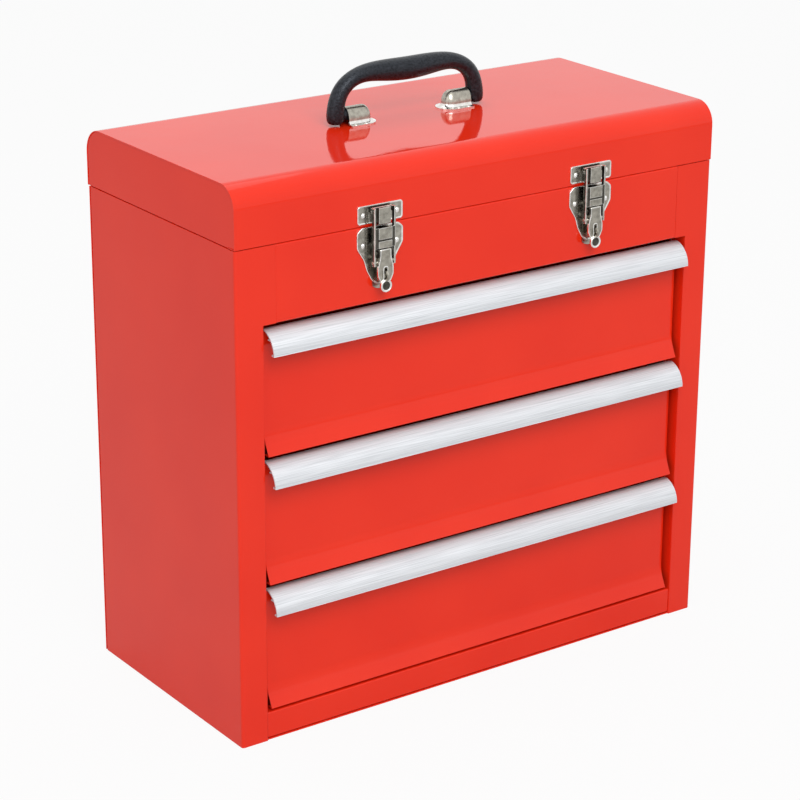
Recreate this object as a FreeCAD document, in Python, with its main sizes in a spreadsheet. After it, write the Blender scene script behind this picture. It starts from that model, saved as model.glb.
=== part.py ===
import FreeCAD, Part
import math
import os
import re

import Sketcher

Vector = FreeCAD.Vector

# Frame: millimetres, X to the right, Y to the back, Z up.
# The origin is the middle of the cabinet's footprint, on the surface that the box stands on.

# Driving sizes. Each is written once here and goes into the spreadsheet under its own alias.
SIZES = {
    # Cabinet shell
    "body_width": 510.0,
    "body_depth": 240.0,
    "body_height": 447.5,
    "sheet": 1.0,
    "bend_radius": 2.5,
    "seam_fit": 0.1,
    "running_gap": 0.3,
    "stile_width": 26.5,
    "stile_return": 19.0,
    "fascia_height": 67.5,
    "fascia_inset": 12.9,
    "fascia_return": 12.0,
    "back_flange": 12.0,
    "base_flange": 15.0,
    "top_flange": 6.0,
    "hem_radius": 1.5,
    "kick_top": 26.0,
    "kick_lift": 1.8,
    "kick_setback": 1.2,
    "kick_return": 12.0,
    "tray_lip": 10.0,
    # Upright channels that carry the drawer slides
    "post_width": 28.0,
    "post_top_gap": 8.0,
    "rear_post_inset": 14.0,
    # Telescopic drawer slides
    "slide_sheet": 1.2,
    "slide_height": 35.0,
    "slide_lip": 4.0,
    "slide_rail_depth": 7.2,
    "slide_thickness": 12.7,
    "slide_front_inset": 18.0,
    "slide_back_inset": 16.0,
    "slide_sink": 0.75,
    # Drawers
    "drawer_top_gap": 5.5,
    "drawer_row_gap": 5.5,
    "drawer_bottom_gap": 3.0,
    "face_setback": 8.0,
    "face_side_gap": 4.5,
    "face_side_return": 8.0,
    "flare_height": 15.0,
    "flare_reach": 7.0,
    "flare_return": 6.0,
    "pan_wall_drop": 9.0,
    "pan_corner": 3.0,
    # Full-width aluminium drawer pulls
    "pull_side_gap": 4.0,
    "pull_wall": 1.5,
    "pull_lead": 3.0,
    "pull_reach": 15.0,
    "pull_drop": 20.0,
    "pull_radius": 21.0,
    "pull_lip": 4.0,
    "pull_leg": 14.0,
    "pull_fin": 4.6,
    "pull_fin_wall": 1.2,
    # Lid
    "lid_gap": 0.5,
    "lid_height": 52.5,
    "lid_front_radius": 20.0,
    "lid_back_radius": 22.0,
    "lid_overhang": 2.0,
    "lid_flange": 11.0,
    "lid_end_recess": 0.5,
    "lid_swing": 95.0,
    # Continuous hinge
    "hinge_radius": 2.5,
    "hinge_pin_radius": 1.2,
    "pin_fit": 0.05,
    "hinge_inset": 15.0,
    "hinge_leaf": 18.0,
    # Slotted lid stays
    "stay_arm": 36.0,
    "stay_angle": 14.0,
    "stay_width": 10.0,
    "stay_sheet": 2.0,
    "stay_inset": 9.0,
    "stay_pin_radius": 2.0,
    "stay_head_radius": 4.0,
    "stay_head": 1.5,
    # Draw latches
    "latch_inset": 142.0,
    "latch_sheet": 1.2,
    "latch_width": 47.0,
    "latch_top_drop": 3.5,
    "latch_height": 54.5,
    "latch_chamfer": 5.5,
    "latch_tip_width": 19.0,
    "latch_tip_radius": 11.0,
    "pivot_drop": 22.5,
    "pivot_reach": 6.5,
    "pivot_pin_radius": 1.5,
    "lug_radius": 4.0,
    "lug_sheet": 1.2,
    "lever_width": 12.0,
    "lever_block_front": 3.0,
    "lever_block_back": 2.7,
    "lever_block_rise": 3.5,
    "lever_block_drop": 11.5,
    "lever_step": 1.0,
    "lever_sheet": 1.5,
    "lever_tail_drop": 27.0,
    "lever_tip_drop": 34.5,
    "lever_tip_reach": 4.0,
    "lever_tip_round": 4.5,
    "slot_width": 3.2,
    "slot_length": 14.0,
    "staple_sheet": 1.8,
    "staple_height": 9.0,
    "staple_eye_radius": 2.5,
    "staple_eye_wall": 1.1,
    "crank": 8.0,
    "bail_spacing": 22.0,
    "bail_sheet": 2.0,
    "bail_depth": 6.0,
    "bail_bar_depth": 1.2,
    "bail_bar_height": 2.2,
    "bridge_height": 13.0,
    "bridge_drop": 4.0,
    "keeper_height": 16.0,
    "keeper_lift": 1.5,
    "keeper_corner": 3.0,
    "hook_width": 11.4,
    "hook_reach": 8.2,
    "hook_height": 12.0,
    "hook_lip": 0.6,
    "hook_lip_wall": 1.2,
    # Rivets
    "rivet_head_radius": 2.6,
    "rivet_head": 1.3,
    "rivet_shank_radius": 1.5,
    "latch_rivet_spacing": 34.0,
    "latch_rivet_drop": 12.5,
    # Carrying handle and its straps
    "handle_span": 150.0,
    "handle_rise": 41.4,
    "handle_foot": 8.7,
    "foot_gap": 0.4,
    "handle_barrel": 7.6,
    "barrel_gap": 0.2,
    "strap_sheet": 1.5,
    "strap_setback": 13.0,
    "strap_length": 12.0,
    "strap_flange": 17.0,
    "strap_nose": 8.0,
    "barrel_reach": 12.0,
    "strap_rivet_inset": 3.0,
}

# Shapes of outlines, as shares of the sizes that they follow.
LATCH_SHOULDER_SHARE = 0.26
LATCH_WAIST_DROP_SHARE = 0.53
LATCH_WAIST_WIDTH_SHARE = 0.71
LATCH_TIP_DROP_SHARE = 0.85
PULL_FIN_DROP_SHARE = 0.33
PULL_FIN_ROOT_SHARE = 0.66
STRAP_RIVET_SHARES = (0.2, 0.85)

# Stations of the grip's half arch, from the foot to the middle: place along half the span, height
# above the pivot as a share of the rise, half thickness in the arch's plane and across it, both as
# shares of the foot's radius.
GRIP_STATION_SHARES = (
    (1.000, -0.195, 0.95, 0.42),
    (1.000, -0.165, 1.18, 0.66),
    (1.000, -0.100, 1.32, 0.88),
    (1.000, 0.000, 1.36, 1.00),
    (0.993, 0.180, 1.33, 1.00),
    (0.978, 0.380, 1.20, 0.98),
    (0.925, 0.600, 0.96, 0.96),
    (0.805, 0.765, 0.78, 0.96),
    (0.600, 0.815, 0.76, 1.00),
    (0.330, 0.790, 1.00, 1.08),
    (0.000, 0.755, 1.15, 1.12),
)

DRAWERS = 3
KNUCKLES = 12
SIDES = (("left", -1), ("right", 1))

doc = FreeCAD.newDocument("ToolBox")
sheet = doc.addObject("Spreadsheet::Sheet", "Sizes")
for row, (alias, number) in enumerate(SIZES.items(), start=1):
    sheet.set(f"A{row}", alias)
    sheet.set(f"B{row}", str(number))
    sheet.setAlias(f"B{row}", alias)
doc.recompute()

nodes = {}
cuts = []


def bound(text):
    """Name the spreadsheet in front of every alias in an expression."""
    def full_name(match):
        word = match.group(0)
        return "Sizes." + word if word in SIZES else word
    return re.sub(r"[A-Za-z_]\w*", full_name, str(text))


def value(text):
    """The number that an expression in the named sizes gives."""
    return float(sheet.evalExpression(bound(text)))


def tie(thing, path, text):
    """Bind one property of an object to the named sizes."""
    thing.setExpression(path, bound(text))


# Places that several pieces share, written in the named sizes.
half_width = "(body_width / 2)"
front = "(-body_depth / 2)"
back = "(body_depth / 2)"
stile_inner = "(body_width / 2 - stile_width)"
shell_inner = "(body_width / 2 - sheet - seam_fit)"
slide_plane = "(body_width / 2 - stile_width - running_gap)"
pan_side = "(body_width / 2 - stile_width - running_gap - slide_thickness)"
fascia_half = "(body_width / 2 - stile_width - fascia_inset)"
opening_top = "(body_height - fascia_height)"
face = "(-body_depth / 2 + face_setback)"
face_half = "(body_width / 2 - stile_width - face_side_gap)"
pull_half = "(body_width / 2 - stile_width - pull_side_gap)"
drawer_room = f"({opening_top} - drawer_top_gap - kick_top - drawer_bottom_gap)"
drawer_pitch = f"(({drawer_room} + drawer_row_gap) / {DRAWERS})"
face_height = f"({drawer_pitch} - drawer_row_gap)"
slide_front = "(-body_depth / 2 + slide_front_inset)"
slide_back = "(body_depth / 2 - slide_back_inset)"
lid_bottom = "(body_height + lid_gap)"
lid_top = "(body_height + lid_gap + lid_height)"
lid_back = "(body_depth / 2 + lid_overhang)"
lid_middle = "(lid_overhang / 2)"
hinge_half = "(body_width / 2 - hinge_inset)"
hinge_y = "(body_depth / 2 + hinge_radius)"
hinge_z = "(body_height - hinge_radius)"
pivot_y = "(-body_depth / 2 - pivot_reach)"
pivot_z = "(body_height - pivot_drop)"
crank_z = "(body_height - pivot_drop - crank)"
trough_z = "(body_height + lid_gap + keeper_lift + hook_height)"
handle_z = "(body_height + lid_gap + lid_height + handle_foot + foot_gap)"
strap_outer = "(handle_span / 2 - strap_setback)"


def corners(outline):
    """Turn an outline into points, each with the arc that leaves it or None.

    A point is (x, y), (x, y, radius) for a corner rounded between two square edges, or
    (x, y, side, radius) where the edge that leaves it is an arc with its centre on that side.
    """
    places = [(value(point[0]), value(point[1])) for point in outline]
    result = []
    for index, point in enumerate(outline):
        x, y = point[0], point[1]
        if len(point) == 2:
            result.append((x, y, None))
            continue
        if len(point) == 4:
            result.append((x, y, (point[2], point[3])))
            continue
        here = places[index]
        before = places[index - 1]
        after = places[(index + 1) % len(places)]
        come = [round(math.copysign(1, a - b)) if abs(a - b) > 1e-9 else 0 for a, b in zip(here, before)]
        leave = [round(math.copysign(1, a - b)) if abs(a - b) > 1e-9 else 0 for a, b in zip(after, here)]
        side = "left" if come[0] * leave[1] - come[1] * leave[0] > 0 else "right"
        radius = point[2]
        result.append((f"({x}) - ({radius}) * {come[0]}", f"({y}) - ({radius}) * {come[1]}", (side, radius)))
        result.append((f"({x}) + ({radius}) * {leave[0]}", f"({y}) + ({radius}) * {leave[1]}", None))
    return result


def arc_between(start, end, side, radius):
    """The short arc from start to end whose centre is on the left or right of the way."""
    chord = end - start
    normal = Vector(-chord.y, chord.x, 0).normalize()
    if side == "right":
        normal = -normal
    centre = (start + end) * 0.5 + normal * math.sqrt(max(radius ** 2 - (chord.Length / 2) ** 2, 0))
    angles = [math.atan2(point.y - centre.y, point.x - centre.x) for point in (start, end)]
    if side == "right":
        angles.reverse()
    return Part.ArcOfCircle(Part.Circle(centre, Vector(0, 0, 1), radius), angles[0], angles[1])


def draw(sketch, outline):
    """Draw a closed outline with every point and radius bound to the named sizes."""
    points = corners(outline)
    places = [Vector(value(x), value(y), 0) for x, y, _ in points]
    ends = []
    for index, (_, _, arc) in enumerate(points):
        start, end = places[index], places[(index + 1) % len(places)]
        if arc is None:
            edge = sketch.addGeometry(Part.LineSegment(start, end), False)
            ends.append((edge, 1, 2))
        else:
            edge = sketch.addGeometry(arc_between(start, end, arc[0], value(arc[1])), False)
            ends.append((edge, 1, 2) if arc[0] == "left" else (edge, 2, 1))
    rules = []
    bindings = []
    for index, (x, y, arc) in enumerate(points):
        edge, first, last = ends[index]
        following, follow_first, _ = ends[(index + 1) % len(ends)]
        rules.append(Sketcher.Constraint("Coincident", edge, last, following, follow_first))
        rules.append(Sketcher.Constraint("DistanceX", -1, 1, edge, first, places[index].x))
        bindings.append((len(rules) - 1, x))
        rules.append(Sketcher.Constraint("DistanceY", -1, 1, edge, first, places[index].y))
        bindings.append((len(rules) - 1, y))
        if arc is not None:
            rules.append(Sketcher.Constraint("Radius", edge, value(arc[1])))
            bindings.append((len(rules) - 1, arc[1]))
    sketch.addConstraint(rules)
    for number, text in bindings:
        tie(sketch, f"Constraints[{number}]", text)


def draw_circle(sketch, x, y, radius):
    """Draw a circle with its centre and radius bound to the named sizes."""
    circle = Part.Circle(Vector(value(x), value(y), 0), Vector(0, 0, 1), value(radius))
    edge = sketch.addGeometry(circle, False)
    texts = (x, y, radius)
    rules = [Sketcher.Constraint("DistanceX", -1, 1, edge, 3, value(x)),
             Sketcher.Constraint("DistanceY", -1, 1, edge, 3, value(y)),
             Sketcher.Constraint("Radius", edge, value(radius))]
    sketch.addConstraint(rules)
    for number, text in enumerate(texts):
        tie(sketch, f"Constraints[{number}]", text)


def new_body(label):
    """An empty body, which becomes the node of that name."""
    body = doc.addObject("PartDesign::Body", label)
    body.Label = label
    nodes[label] = body
    return body


def new_sketch(body, plane, offset):
    """A sketch on one of the body's own planes, moved along the plane's normal."""
    sketch = body.newObject("Sketcher::SketchObject", body.Label + "_sketch")
    support = [part for part in body.Origin.OriginFeatures if part.Role == plane + "_Plane"][0]
    sketch.AttachmentSupport = [(support, "")]
    sketch.MapMode = "FlatFace"
    tie(sketch, "AttachmentOffset.Base.z", offset)
    return sketch


def pad(body, plane, outline, start, end):
    """Add an outline on a plane of the body, from start to end along the third axis."""
    sketch = new_sketch(body, plane, f"-({end})" if plane == "XZ" else start)
    draw(sketch, outline)
    feature = body.newObject("PartDesign::Pad", body.Label + "_pad")
    feature.Profile = sketch
    tie(feature, "Length", f"({end}) - ({start})")
    sketch.Visibility = False
    return feature


def pocket_sketch(body, plane, start, end):
    """A sketch whose pocket cuts from one place to the other along the third axis."""
    return new_sketch(body, plane, f"-({start})" if plane == "XZ" else end)


def pocket_feature(body, sketch, start, end):
    """Cut the sketch out of the body."""
    feature = body.newObject("PartDesign::Pocket", body.Label + "_pocket")
    feature.Profile = sketch
    tie(feature, "Length", f"({end}) - ({start})")
    cuts.append(feature)
    return feature


def pocket(body, plane, outline, start, end):
    """Cut an outline out of the body, from start to end along the third axis."""
    sketch = pocket_sketch(body, plane, start, end)
    draw(sketch, outline)
    return pocket_feature(body, sketch, start, end)


def drill(body, plane, x, y, radius, start, end):
    """Cut one round hole through the body, from start to end along the third axis."""
    sketch = pocket_sketch(body, plane, start, end)
    draw_circle(sketch, x, y, radius)
    return pocket_feature(body, sketch, start, end)


def rectangle(x0, x1, y0, y1, radius=None):
    """An upright rectangle, with all its corners rounded where a radius is given."""
    points = [(x0, y0), (x1, y0), (x1, y1), (x0, y1)]
    if radius is None:
        return points
    return [(x, y, radius) for x, y in points]


def mirrored(side, outline):
    """An outline with its first coordinate on the chosen side."""
    return [(f"{side} * ({point[0]})",) + tuple(point[1:]) for point in outline]


def span(side, inner, outer):
    """Start and end along X of what lies between two distances from the middle."""
    if side > 0:
        return inner, outer
    return f"-({outer})", f"-({inner})"


def box(label, x0, x1, y0, y1, z0, z1):
    """A plain block between six places."""
    block = doc.addObject("Part::Box", label)
    block.Label = label
    tie(block, "Length", f"({x1}) - ({x0})")
    tie(block, "Width", f"({y1}) - ({y0})")
    tie(block, "Height", f"({z1}) - ({z0})")
    tie(block, "Placement.Base.x", x0)
    tie(block, "Placement.Base.y", y0)
    tie(block, "Placement.Base.z", z0)
    return block


def rod(label, x0, x1, y, z, radius):
    """A round rod along X."""
    cylinder = doc.addObject("Part::Cylinder", label)
    cylinder.Label = label
    cylinder.Placement = FreeCAD.Placement(Vector(0, 0, 0), FreeCAD.Rotation(Vector(0, 1, 0), 90))
    tie(cylinder, "Radius", radius)
    tie(cylinder, "Height", f"({x1}) - ({x0})")
    tie(cylinder, "Placement.Base.x", x0)
    tie(cylinder, "Placement.Base.y", y)
    tie(cylinder, "Placement.Base.z", z)
    return cylinder


def post(label, x, y, z0, z1, radius):
    """A round rod along Z."""
    cylinder = doc.addObject("Part::Cylinder", label)
    cylinder.Label = label
    tie(cylinder, "Radius", radius)
    tie(cylinder, "Height", f"({z1}) - ({z0})")
    tie(cylinder, "Placement.Base.x", x)
    tie(cylinder, "Placement.Base.y", y)
    tie(cylinder, "Placement.Base.z", z0)
    return cylinder


def ball(label, x, y, z, radius):
    """A ball."""
    sphere = doc.addObject("Part::Sphere", label)
    sphere.Label = label
    tie(sphere, "Radius", radius)
    tie(sphere, "Placement.Base.x", x)
    tie(sphere, "Placement.Base.y", y)
    tie(sphere, "Placement.Base.z", z)
    return sphere


def fuse(label, shapes):
    """Join shapes into one solid."""
    joined = doc.addObject("Part::MultiFuse", label)
    joined.Label = label
    joined.Shapes = shapes
    joined.Refine = True
    return joined


def cut(label, base, tool):
    """Cut one shape out of another."""
    remaining = doc.addObject("Part::Cut", label)
    remaining.Label = label
    remaining.Base = base
    remaining.Tool = tool
    return remaining


def common(label, base, tool):
    """What two shapes have in common."""
    shared = doc.addObject("Part::Common", label)
    shared.Label = label
    shared.Base = base
    shared.Tool = tool
    return shared


def group(label, members):
    """Separate solids that share one node."""
    together = doc.addObject("Part::Compound", label)
    together.Label = label
    together.Links = members
    nodes[label] = together
    return together


def inner_body(label):
    """An empty body that is one member of a group."""
    body = doc.addObject("PartDesign::Body", label)
    body.Label = label
    return body


def side_panel(name, side):
    """A folded side sheet: wall, front stile with its return, and flanges all round."""
    body = new_body("side_panel_" + name)
    wall = [
        (stile_inner, front),
        (half_width, front, "bend_radius"),
        (half_width, f"{back} - sheet", "bend_radius"),
        (f"{half_width} - back_flange", f"{back} - sheet"),
        (f"{half_width} - back_flange", f"{back} - 2 * sheet"),
        (f"{half_width} - sheet", f"{back} - 2 * sheet", "bend_radius - sheet"),
        (f"{half_width} - sheet", f"{front} + sheet", "bend_radius - sheet"),
        (stile_inner, f"{front} + sheet"),
    ]
    pad(body, "XY", mirrored(side, wall), "0", "body_height")
    turn_in = rectangle(stile_inner, f"{stile_inner} + sheet", front, f"{front} + stile_return")
    pad(body, "XY", mirrored(side, turn_in), "sheet + seam_fit", opening_top)
    ear = rectangle(f"{fascia_half} + seam_fit", f"{stile_inner} + sheet", front, f"{front} + sheet")
    pad(body, "XY", mirrored(side, ear), opening_top, "body_height")
    foot = rectangle(f"{half_width} - base_flange", f"{half_width} - sheet / 2",
                     f"{front} + bend_radius", f"{back} - sheet - bend_radius")
    pad(body, "XY", mirrored(side, foot), "sheet", "2 * sheet")
    hem = rectangle(f"{half_width} - top_flange", f"{half_width} - sheet / 2",
                    f"{front} + bend_radius", f"{back} - sheet - bend_radius")
    pad(body, "XY", mirrored(side, hem), "body_height - sheet", "body_height")


def back_panel():
    """The flat back sheet, flush with the cabinet's rear face."""
    body = new_body("back_panel")
    pad(body, "XY", rectangle(f"-{half_width}", half_width, f"{back} - sheet", back), "0", "body_height")


def base_plate():
    """The bottom sheet, which the box stands on."""
    body = new_body("base_plate")
    outline = rectangle(f"-{shell_inner}", shell_inner, f"{front} + sheet + seam_fit",
                        f"{back} - 2 * sheet - seam_fit", "bend_radius")
    pad(body, "XY", outline, "0", "sheet")


def front_fascia():
    """The front sheet between the lid seam and the top drawer, folded in at both edges."""
    body = new_body("front_fascia")
    profile = [
        (front, opening_top, "hem_radius"),
        (f"{front} + fascia_return", opening_top),
        (f"{front} + fascia_return", f"{opening_top} + sheet"),
        (f"{front} + sheet", f"{opening_top} + sheet"),
        (f"{front} + sheet", "body_height - sheet"),
        (f"{front} + top_flange", "body_height - sheet"),
        (f"{front} + top_flange", "body_height"),
        (front, "body_height", "hem_radius"),
    ]
    pad(body, "YZ", profile, f"-{fascia_half}", fascia_half)


def kick_rail():
    """The low front rail under the bottom drawer, set back a little between the stiles."""
    body = new_body("bottom_rail")
    rail_front = f"({front} + kick_setback)"
    profile = [
        (rail_front, "kick_lift", "hem_radius"),
        (f"{rail_front} + kick_return", "kick_lift"),
        (f"{rail_front} + kick_return", "kick_lift + sheet"),
        (f"{rail_front} + sheet", "kick_lift + sheet"),
        (f"{rail_front} + sheet", "kick_top - sheet"),
        (f"{rail_front} + kick_return", "kick_top - sheet"),
        (f"{rail_front} + kick_return", "kick_top"),
        (rail_front, "kick_top", "hem_radius"),
    ]
    pad(body, "YZ", profile, f"-({stile_inner} - seam_fit)", f"{stile_inner} - seam_fit")


def compartment_floor():
    """The shallow tray under the lid, which rests on the fascia's return."""
    body = new_body("compartment_floor")
    tray_front = f"{front} + sheet + seam_fit"
    tray_back = f"{back} - 2 * sheet - seam_fit"
    tray_bottom = f"{opening_top} + sheet"
    outline = rectangle(f"-{shell_inner}", shell_inner, tray_front, tray_back, "bend_radius")
    pad(body, "XY", outline, tray_bottom, f"{tray_bottom} + tray_lip")
    hollow = rectangle(f"-{shell_inner} + sheet", f"{shell_inner} - sheet",
                       f"{tray_front} + sheet", f"{tray_back} - sheet", "bend_radius - sheet")
    pocket(body, "XY", hollow, f"{tray_bottom} + sheet", f"{tray_bottom} + tray_lip + sheet")


def slide_post(name, side, place, post_front):
    """An upright channel between the side wall and the slides."""
    body = new_body(f"slide_post_{place}_{name}")
    post_back = f"{post_front} + post_width"
    channel = [
        (slide_plane, post_front),
        (shell_inner, post_front),
        (shell_inner, f"{post_front} + sheet"),
        (f"{slide_plane} + sheet", f"{post_front} + sheet"),
        (f"{slide_plane} + sheet", f"{post_back} - sheet"),
        (shell_inner, f"{post_back} - sheet"),
        (shell_inner, post_back),
        (slide_plane, post_back),
    ]
    pad(body, "XY", mirrored(side, channel), "2 * sheet", f"{opening_top} - post_top_gap")


def channel_profile(side, depth_start, depth_end, half_height, middle):
    """A slide channel seen from the front, open towards the drawer, with two lips."""
    lip = f"{half_height} - slide_sheet - slide_lip"
    steps = [
        (depth_start, f"-({half_height})"),
        (depth_end, f"-({half_height})"),
        (depth_end, f"-({lip})"),
        (f"{depth_end} - slide_sheet", f"-({lip})"),
        (f"{depth_end} - slide_sheet", f"-({half_height}) + slide_sheet"),
        (f"{depth_start} + slide_sheet", f"-({half_height}) + slide_sheet"),
        (f"{depth_start} + slide_sheet", f"({half_height}) - slide_sheet"),
        (f"{depth_end} - slide_sheet", f"({half_height}) - slide_sheet"),
        (f"{depth_end} - slide_sheet", lip),
        (depth_end, lip),
        (depth_end, half_height),
        (depth_start, half_height),
    ]
    return [(f"{side} * ({slide_plane} - ({depth}))", f"{middle} + ({height})") for depth, height in steps]


def runner_profile(side, middle):
    """The drawer's slide member seen from the front: a hat whose brim runs in the carriage."""
    half_height = "(slide_height / 2 - 2 * slide_sheet - 2 * running_gap)"
    neck = "(slide_height / 2 - 2 * slide_sheet - slide_lip - 2 * running_gap)"
    brim = "(2 * slide_sheet + 2 * running_gap)"
    crown = "slide_thickness"
    steps = [
        (brim, f"-{half_height}"),
        (f"{brim} + slide_sheet", f"-{half_height}"),
        (f"{brim} + slide_sheet", f"-{neck}"),
        (crown, f"-{neck}"),
        (crown, neck),
        (f"{brim} + slide_sheet", neck),
        (f"{brim} + slide_sheet", half_height),
        (brim, half_height),
        (brim, f"{neck} - slide_sheet"),
        (f"{crown} - slide_sheet", f"{neck} - slide_sheet"),
        (f"{crown} - slide_sheet", f"-{neck} + slide_sheet"),
        (brim, f"-{neck} + slide_sheet"),
    ]
    return [(f"{side} * ({slide_plane} - ({depth}))", f"{middle} + ({height})") for depth, height in steps]


def drawer_slides(number, top):
    """Both slides of one drawer: rails on the posts, carriages between, runners on the pan."""
    middle = f"({top} - {face_height} / 2 - slide_sink)"
    rails = []
    runners = []
    for name, side in SIDES:
        rail = inner_body(f"slide_rail_{name}_{number}")
        pad(rail, "XZ", channel_profile(side, "0", "slide_rail_depth", "(slide_height / 2)", middle),
            slide_front, slide_back)
        rails.append(rail)
        carriage = new_body(f"slide_carriage_{name}_{number}")
        reach = "(slide_sheet + running_gap)"
        inner_half = f"(slide_height / 2 - {reach})"
        pad(carriage, "XZ",
            channel_profile(side, reach, f"slide_rail_depth - {reach}", inner_half, middle),
            slide_front, slide_back)
        runner = inner_body(f"slide_runner_{name}_{number}")
        pad(runner, "XZ", runner_profile(side, middle), slide_front, slide_back)
        runners.append(runner)
    group(f"slide_rails_{number}", rails)
    group(f"slide_runners_{number}", runners)


def drawer_pan(number, top):
    """The drawer's open steel pan."""
    body = new_body(f"drawer_pan_{number}")
    pan_front = f"{face} + sheet"
    rim = f"{top} - pan_wall_drop"
    floor = f"{top} - {face_height} + flare_height"
    outline = rectangle(f"-{pan_side}", pan_side, pan_front, slide_back, "pan_corner")
    pad(body, "XY", outline, floor, rim)
    hollow = rectangle(f"-{pan_side} + sheet", f"{pan_side} - sheet",
                       f"{pan_front} + sheet", f"{slide_back} - sheet", "pan_corner - sheet")
    pocket(body, "XY", hollow, f"{floor} + sheet", f"{rim} + sheet")


def drawer_front(number, top):
    """The drawer's painted face, flared forward along its lower edge."""
    body = new_body(f"drawer_front_{number}")
    face_top = f"{top} - pull_wall"
    bottom = f"({top} - {face_height})"
    flare_front = f"({face} - flare_reach)"
    profile = [
        (face, face_top),
        (face, f"{bottom} + flare_height"),
        (flare_front, bottom),
        (f"{flare_front} + flare_return", bottom),
        (f"{flare_front} + flare_return", f"{bottom} + sheet"),
        (f"{flare_front} + sheet", f"{bottom} + sheet"),
        (f"{face} + sheet", f"{bottom} + flare_height"),
        (f"{face} + sheet", face_top),
    ]
    pad(body, "YZ", profile, f"-{face_half}", face_half)
    for name, side in SIDES:
        cheek = rectangle(f"{face_half} - sheet", face_half, face, f"{face} + face_side_return")
        pad(body, "XY", mirrored(side, cheek), f"{bottom} + flare_height", face_top)


def drawer_pull(number, top):
    """The extruded pull: a curved blade that leans forward over a mounting leg, with an inner fin."""
    body = new_body(f"drawer_pull_{number}")
    lead = f"({face} - pull_lead)"
    edge = f"({lead} - pull_reach)"
    foot = f"({top} - pull_drop)"
    profile = [
        (f"{face} + sheet", top),
        (lead, top, "left", "pull_radius"),
        (edge, foot),
        (f"{edge} + pull_lip", foot),
        (f"{edge} + pull_lip", f"{foot} + pull_wall"),
        (f"{edge} + pull_wall", f"{foot} + pull_wall", "right", "pull_radius - pull_wall"),
        (lead, f"{top} - pull_wall"),
        (f"{face} - pull_wall", f"{top} - pull_wall"),
        (f"{face} - pull_wall", f"{top} - pull_leg"),
        (face, f"{top} - pull_leg"),
        (face, f"{top} - pull_wall"),
        (f"{face} + sheet", f"{top} - pull_wall"),
    ]
    pad(body, "YZ", profile, f"-{pull_half}", pull_half)
    root = f"({lead} - pull_reach * {PULL_FIN_ROOT_SHARE})"
    height = f"({top} - pull_drop * {PULL_FIN_DROP_SHARE})"
    fin = rectangle(root, f"{root} + pull_fin", f"{height} - pull_fin_wall", height)
    pad(body, "YZ", fin, f"-{pull_half}", pull_half)


def drawer(number):
    """One drawer with its slides."""
    top = f"({opening_top} - drawer_top_gap - {drawer_pitch} * {number - 1})"
    drawer_pan(number, top)
    drawer_front(number, top)
    drawer_pull(number, top)
    drawer_slides(number, top)


def lid_wrap():
    """The lid's sheet, wrapped from the front skirt over the top to the back skirt."""
    body = new_body("lid_wrap")
    skirt_back = f"({lid_back} - sheet)"
    profile = [
        (front, lid_bottom),
        (f"{front} + lid_flange", lid_bottom),
        (f"{front} + lid_flange", f"{lid_bottom} + sheet"),
        (f"{front} + sheet", f"{lid_bottom} + sheet"),
        (f"{front} + sheet", f"{lid_top} - sheet", "lid_front_radius - sheet"),
        (skirt_back, f"{lid_top} - sheet", "lid_back_radius - sheet"),
        (skirt_back, lid_bottom),
        (lid_back, lid_bottom),
        (lid_back, lid_top, "lid_back_radius"),
        (front, lid_top, "lid_front_radius"),
    ]
    pad(body, "YZ", profile, f"-{half_width}", half_width)


def lid_end(name, side):
    """An end plate set into the wrap, a little back from its edge."""
    body = new_body("lid_end_" + name)
    skirt_back = f"({lid_back} - sheet)"
    outline = [
        (f"{front} + lid_flange", lid_bottom),
        (skirt_back, lid_bottom),
        (skirt_back, f"{lid_top} - sheet", "lid_back_radius - sheet"),
        (f"{front} + sheet", f"{lid_top} - sheet", "lid_front_radius - sheet"),
        (f"{front} + sheet", f"{lid_bottom} + sheet"),
        (f"{front} + lid_flange", f"{lid_bottom} + sheet"),
    ]
    outer = f"{half_width} - lid_end_recess"
    pad(body, "YZ", outline, *span(side, f"{outer} - sheet", outer))


def hinge_leaf(label, first, leaf_low, leaf_high, tab_low, tab_high):
    """One leaf of the continuous hinge: a strip with every second knuckle."""
    pieces = [box(label + "_strip", f"-{hinge_half}", hinge_half, back, f"{back} + sheet",
                  leaf_low, leaf_high)]
    for index in range(first, KNUCKLES, 2):
        start = f"(-{hinge_half} + 2 * {hinge_half} * {index} / {KNUCKLES} + running_gap / 2)"
        end = f"(-{hinge_half} + 2 * {hinge_half} * {index + 1} / {KNUCKLES} - running_gap / 2)"
        pieces.append(box(f"{label}_tab_{index}", start, end, back, f"{back} + sheet", tab_low, tab_high))
        pieces.append(rod(f"{label}_knuckle_{index}", start, end, hinge_y, hinge_z, "hinge_radius"))
    bore = rod(label + "_bore", f"-{hinge_half} - sheet", f"{hinge_half} + sheet", hinge_y, hinge_z,
               "hinge_pin_radius + pin_fit")
    nodes[label] = cut(label, fuse(label + "_blank", pieces), bore)


def hinge():
    """The continuous hinge: a leaf on the cabinet, a leaf in the lid and the pin."""
    clear = "(hinge_radius + running_gap)"
    hinge_leaf("hinge_leaf_body", 0, f"{hinge_z} - hinge_leaf", f"{hinge_z} - {clear}",
               f"{hinge_z} - {clear}", hinge_z)
    hinge_leaf("hinge_leaf_lid", 1, f"{hinge_z} + {clear}", f"{hinge_z} + hinge_leaf",
               hinge_z, f"{hinge_z} + {clear}")
    nodes["hinge_pin"] = rod("hinge_pin", f"-{hinge_half}", hinge_half, hinge_y, hinge_z, "hinge_pin_radius")


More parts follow.
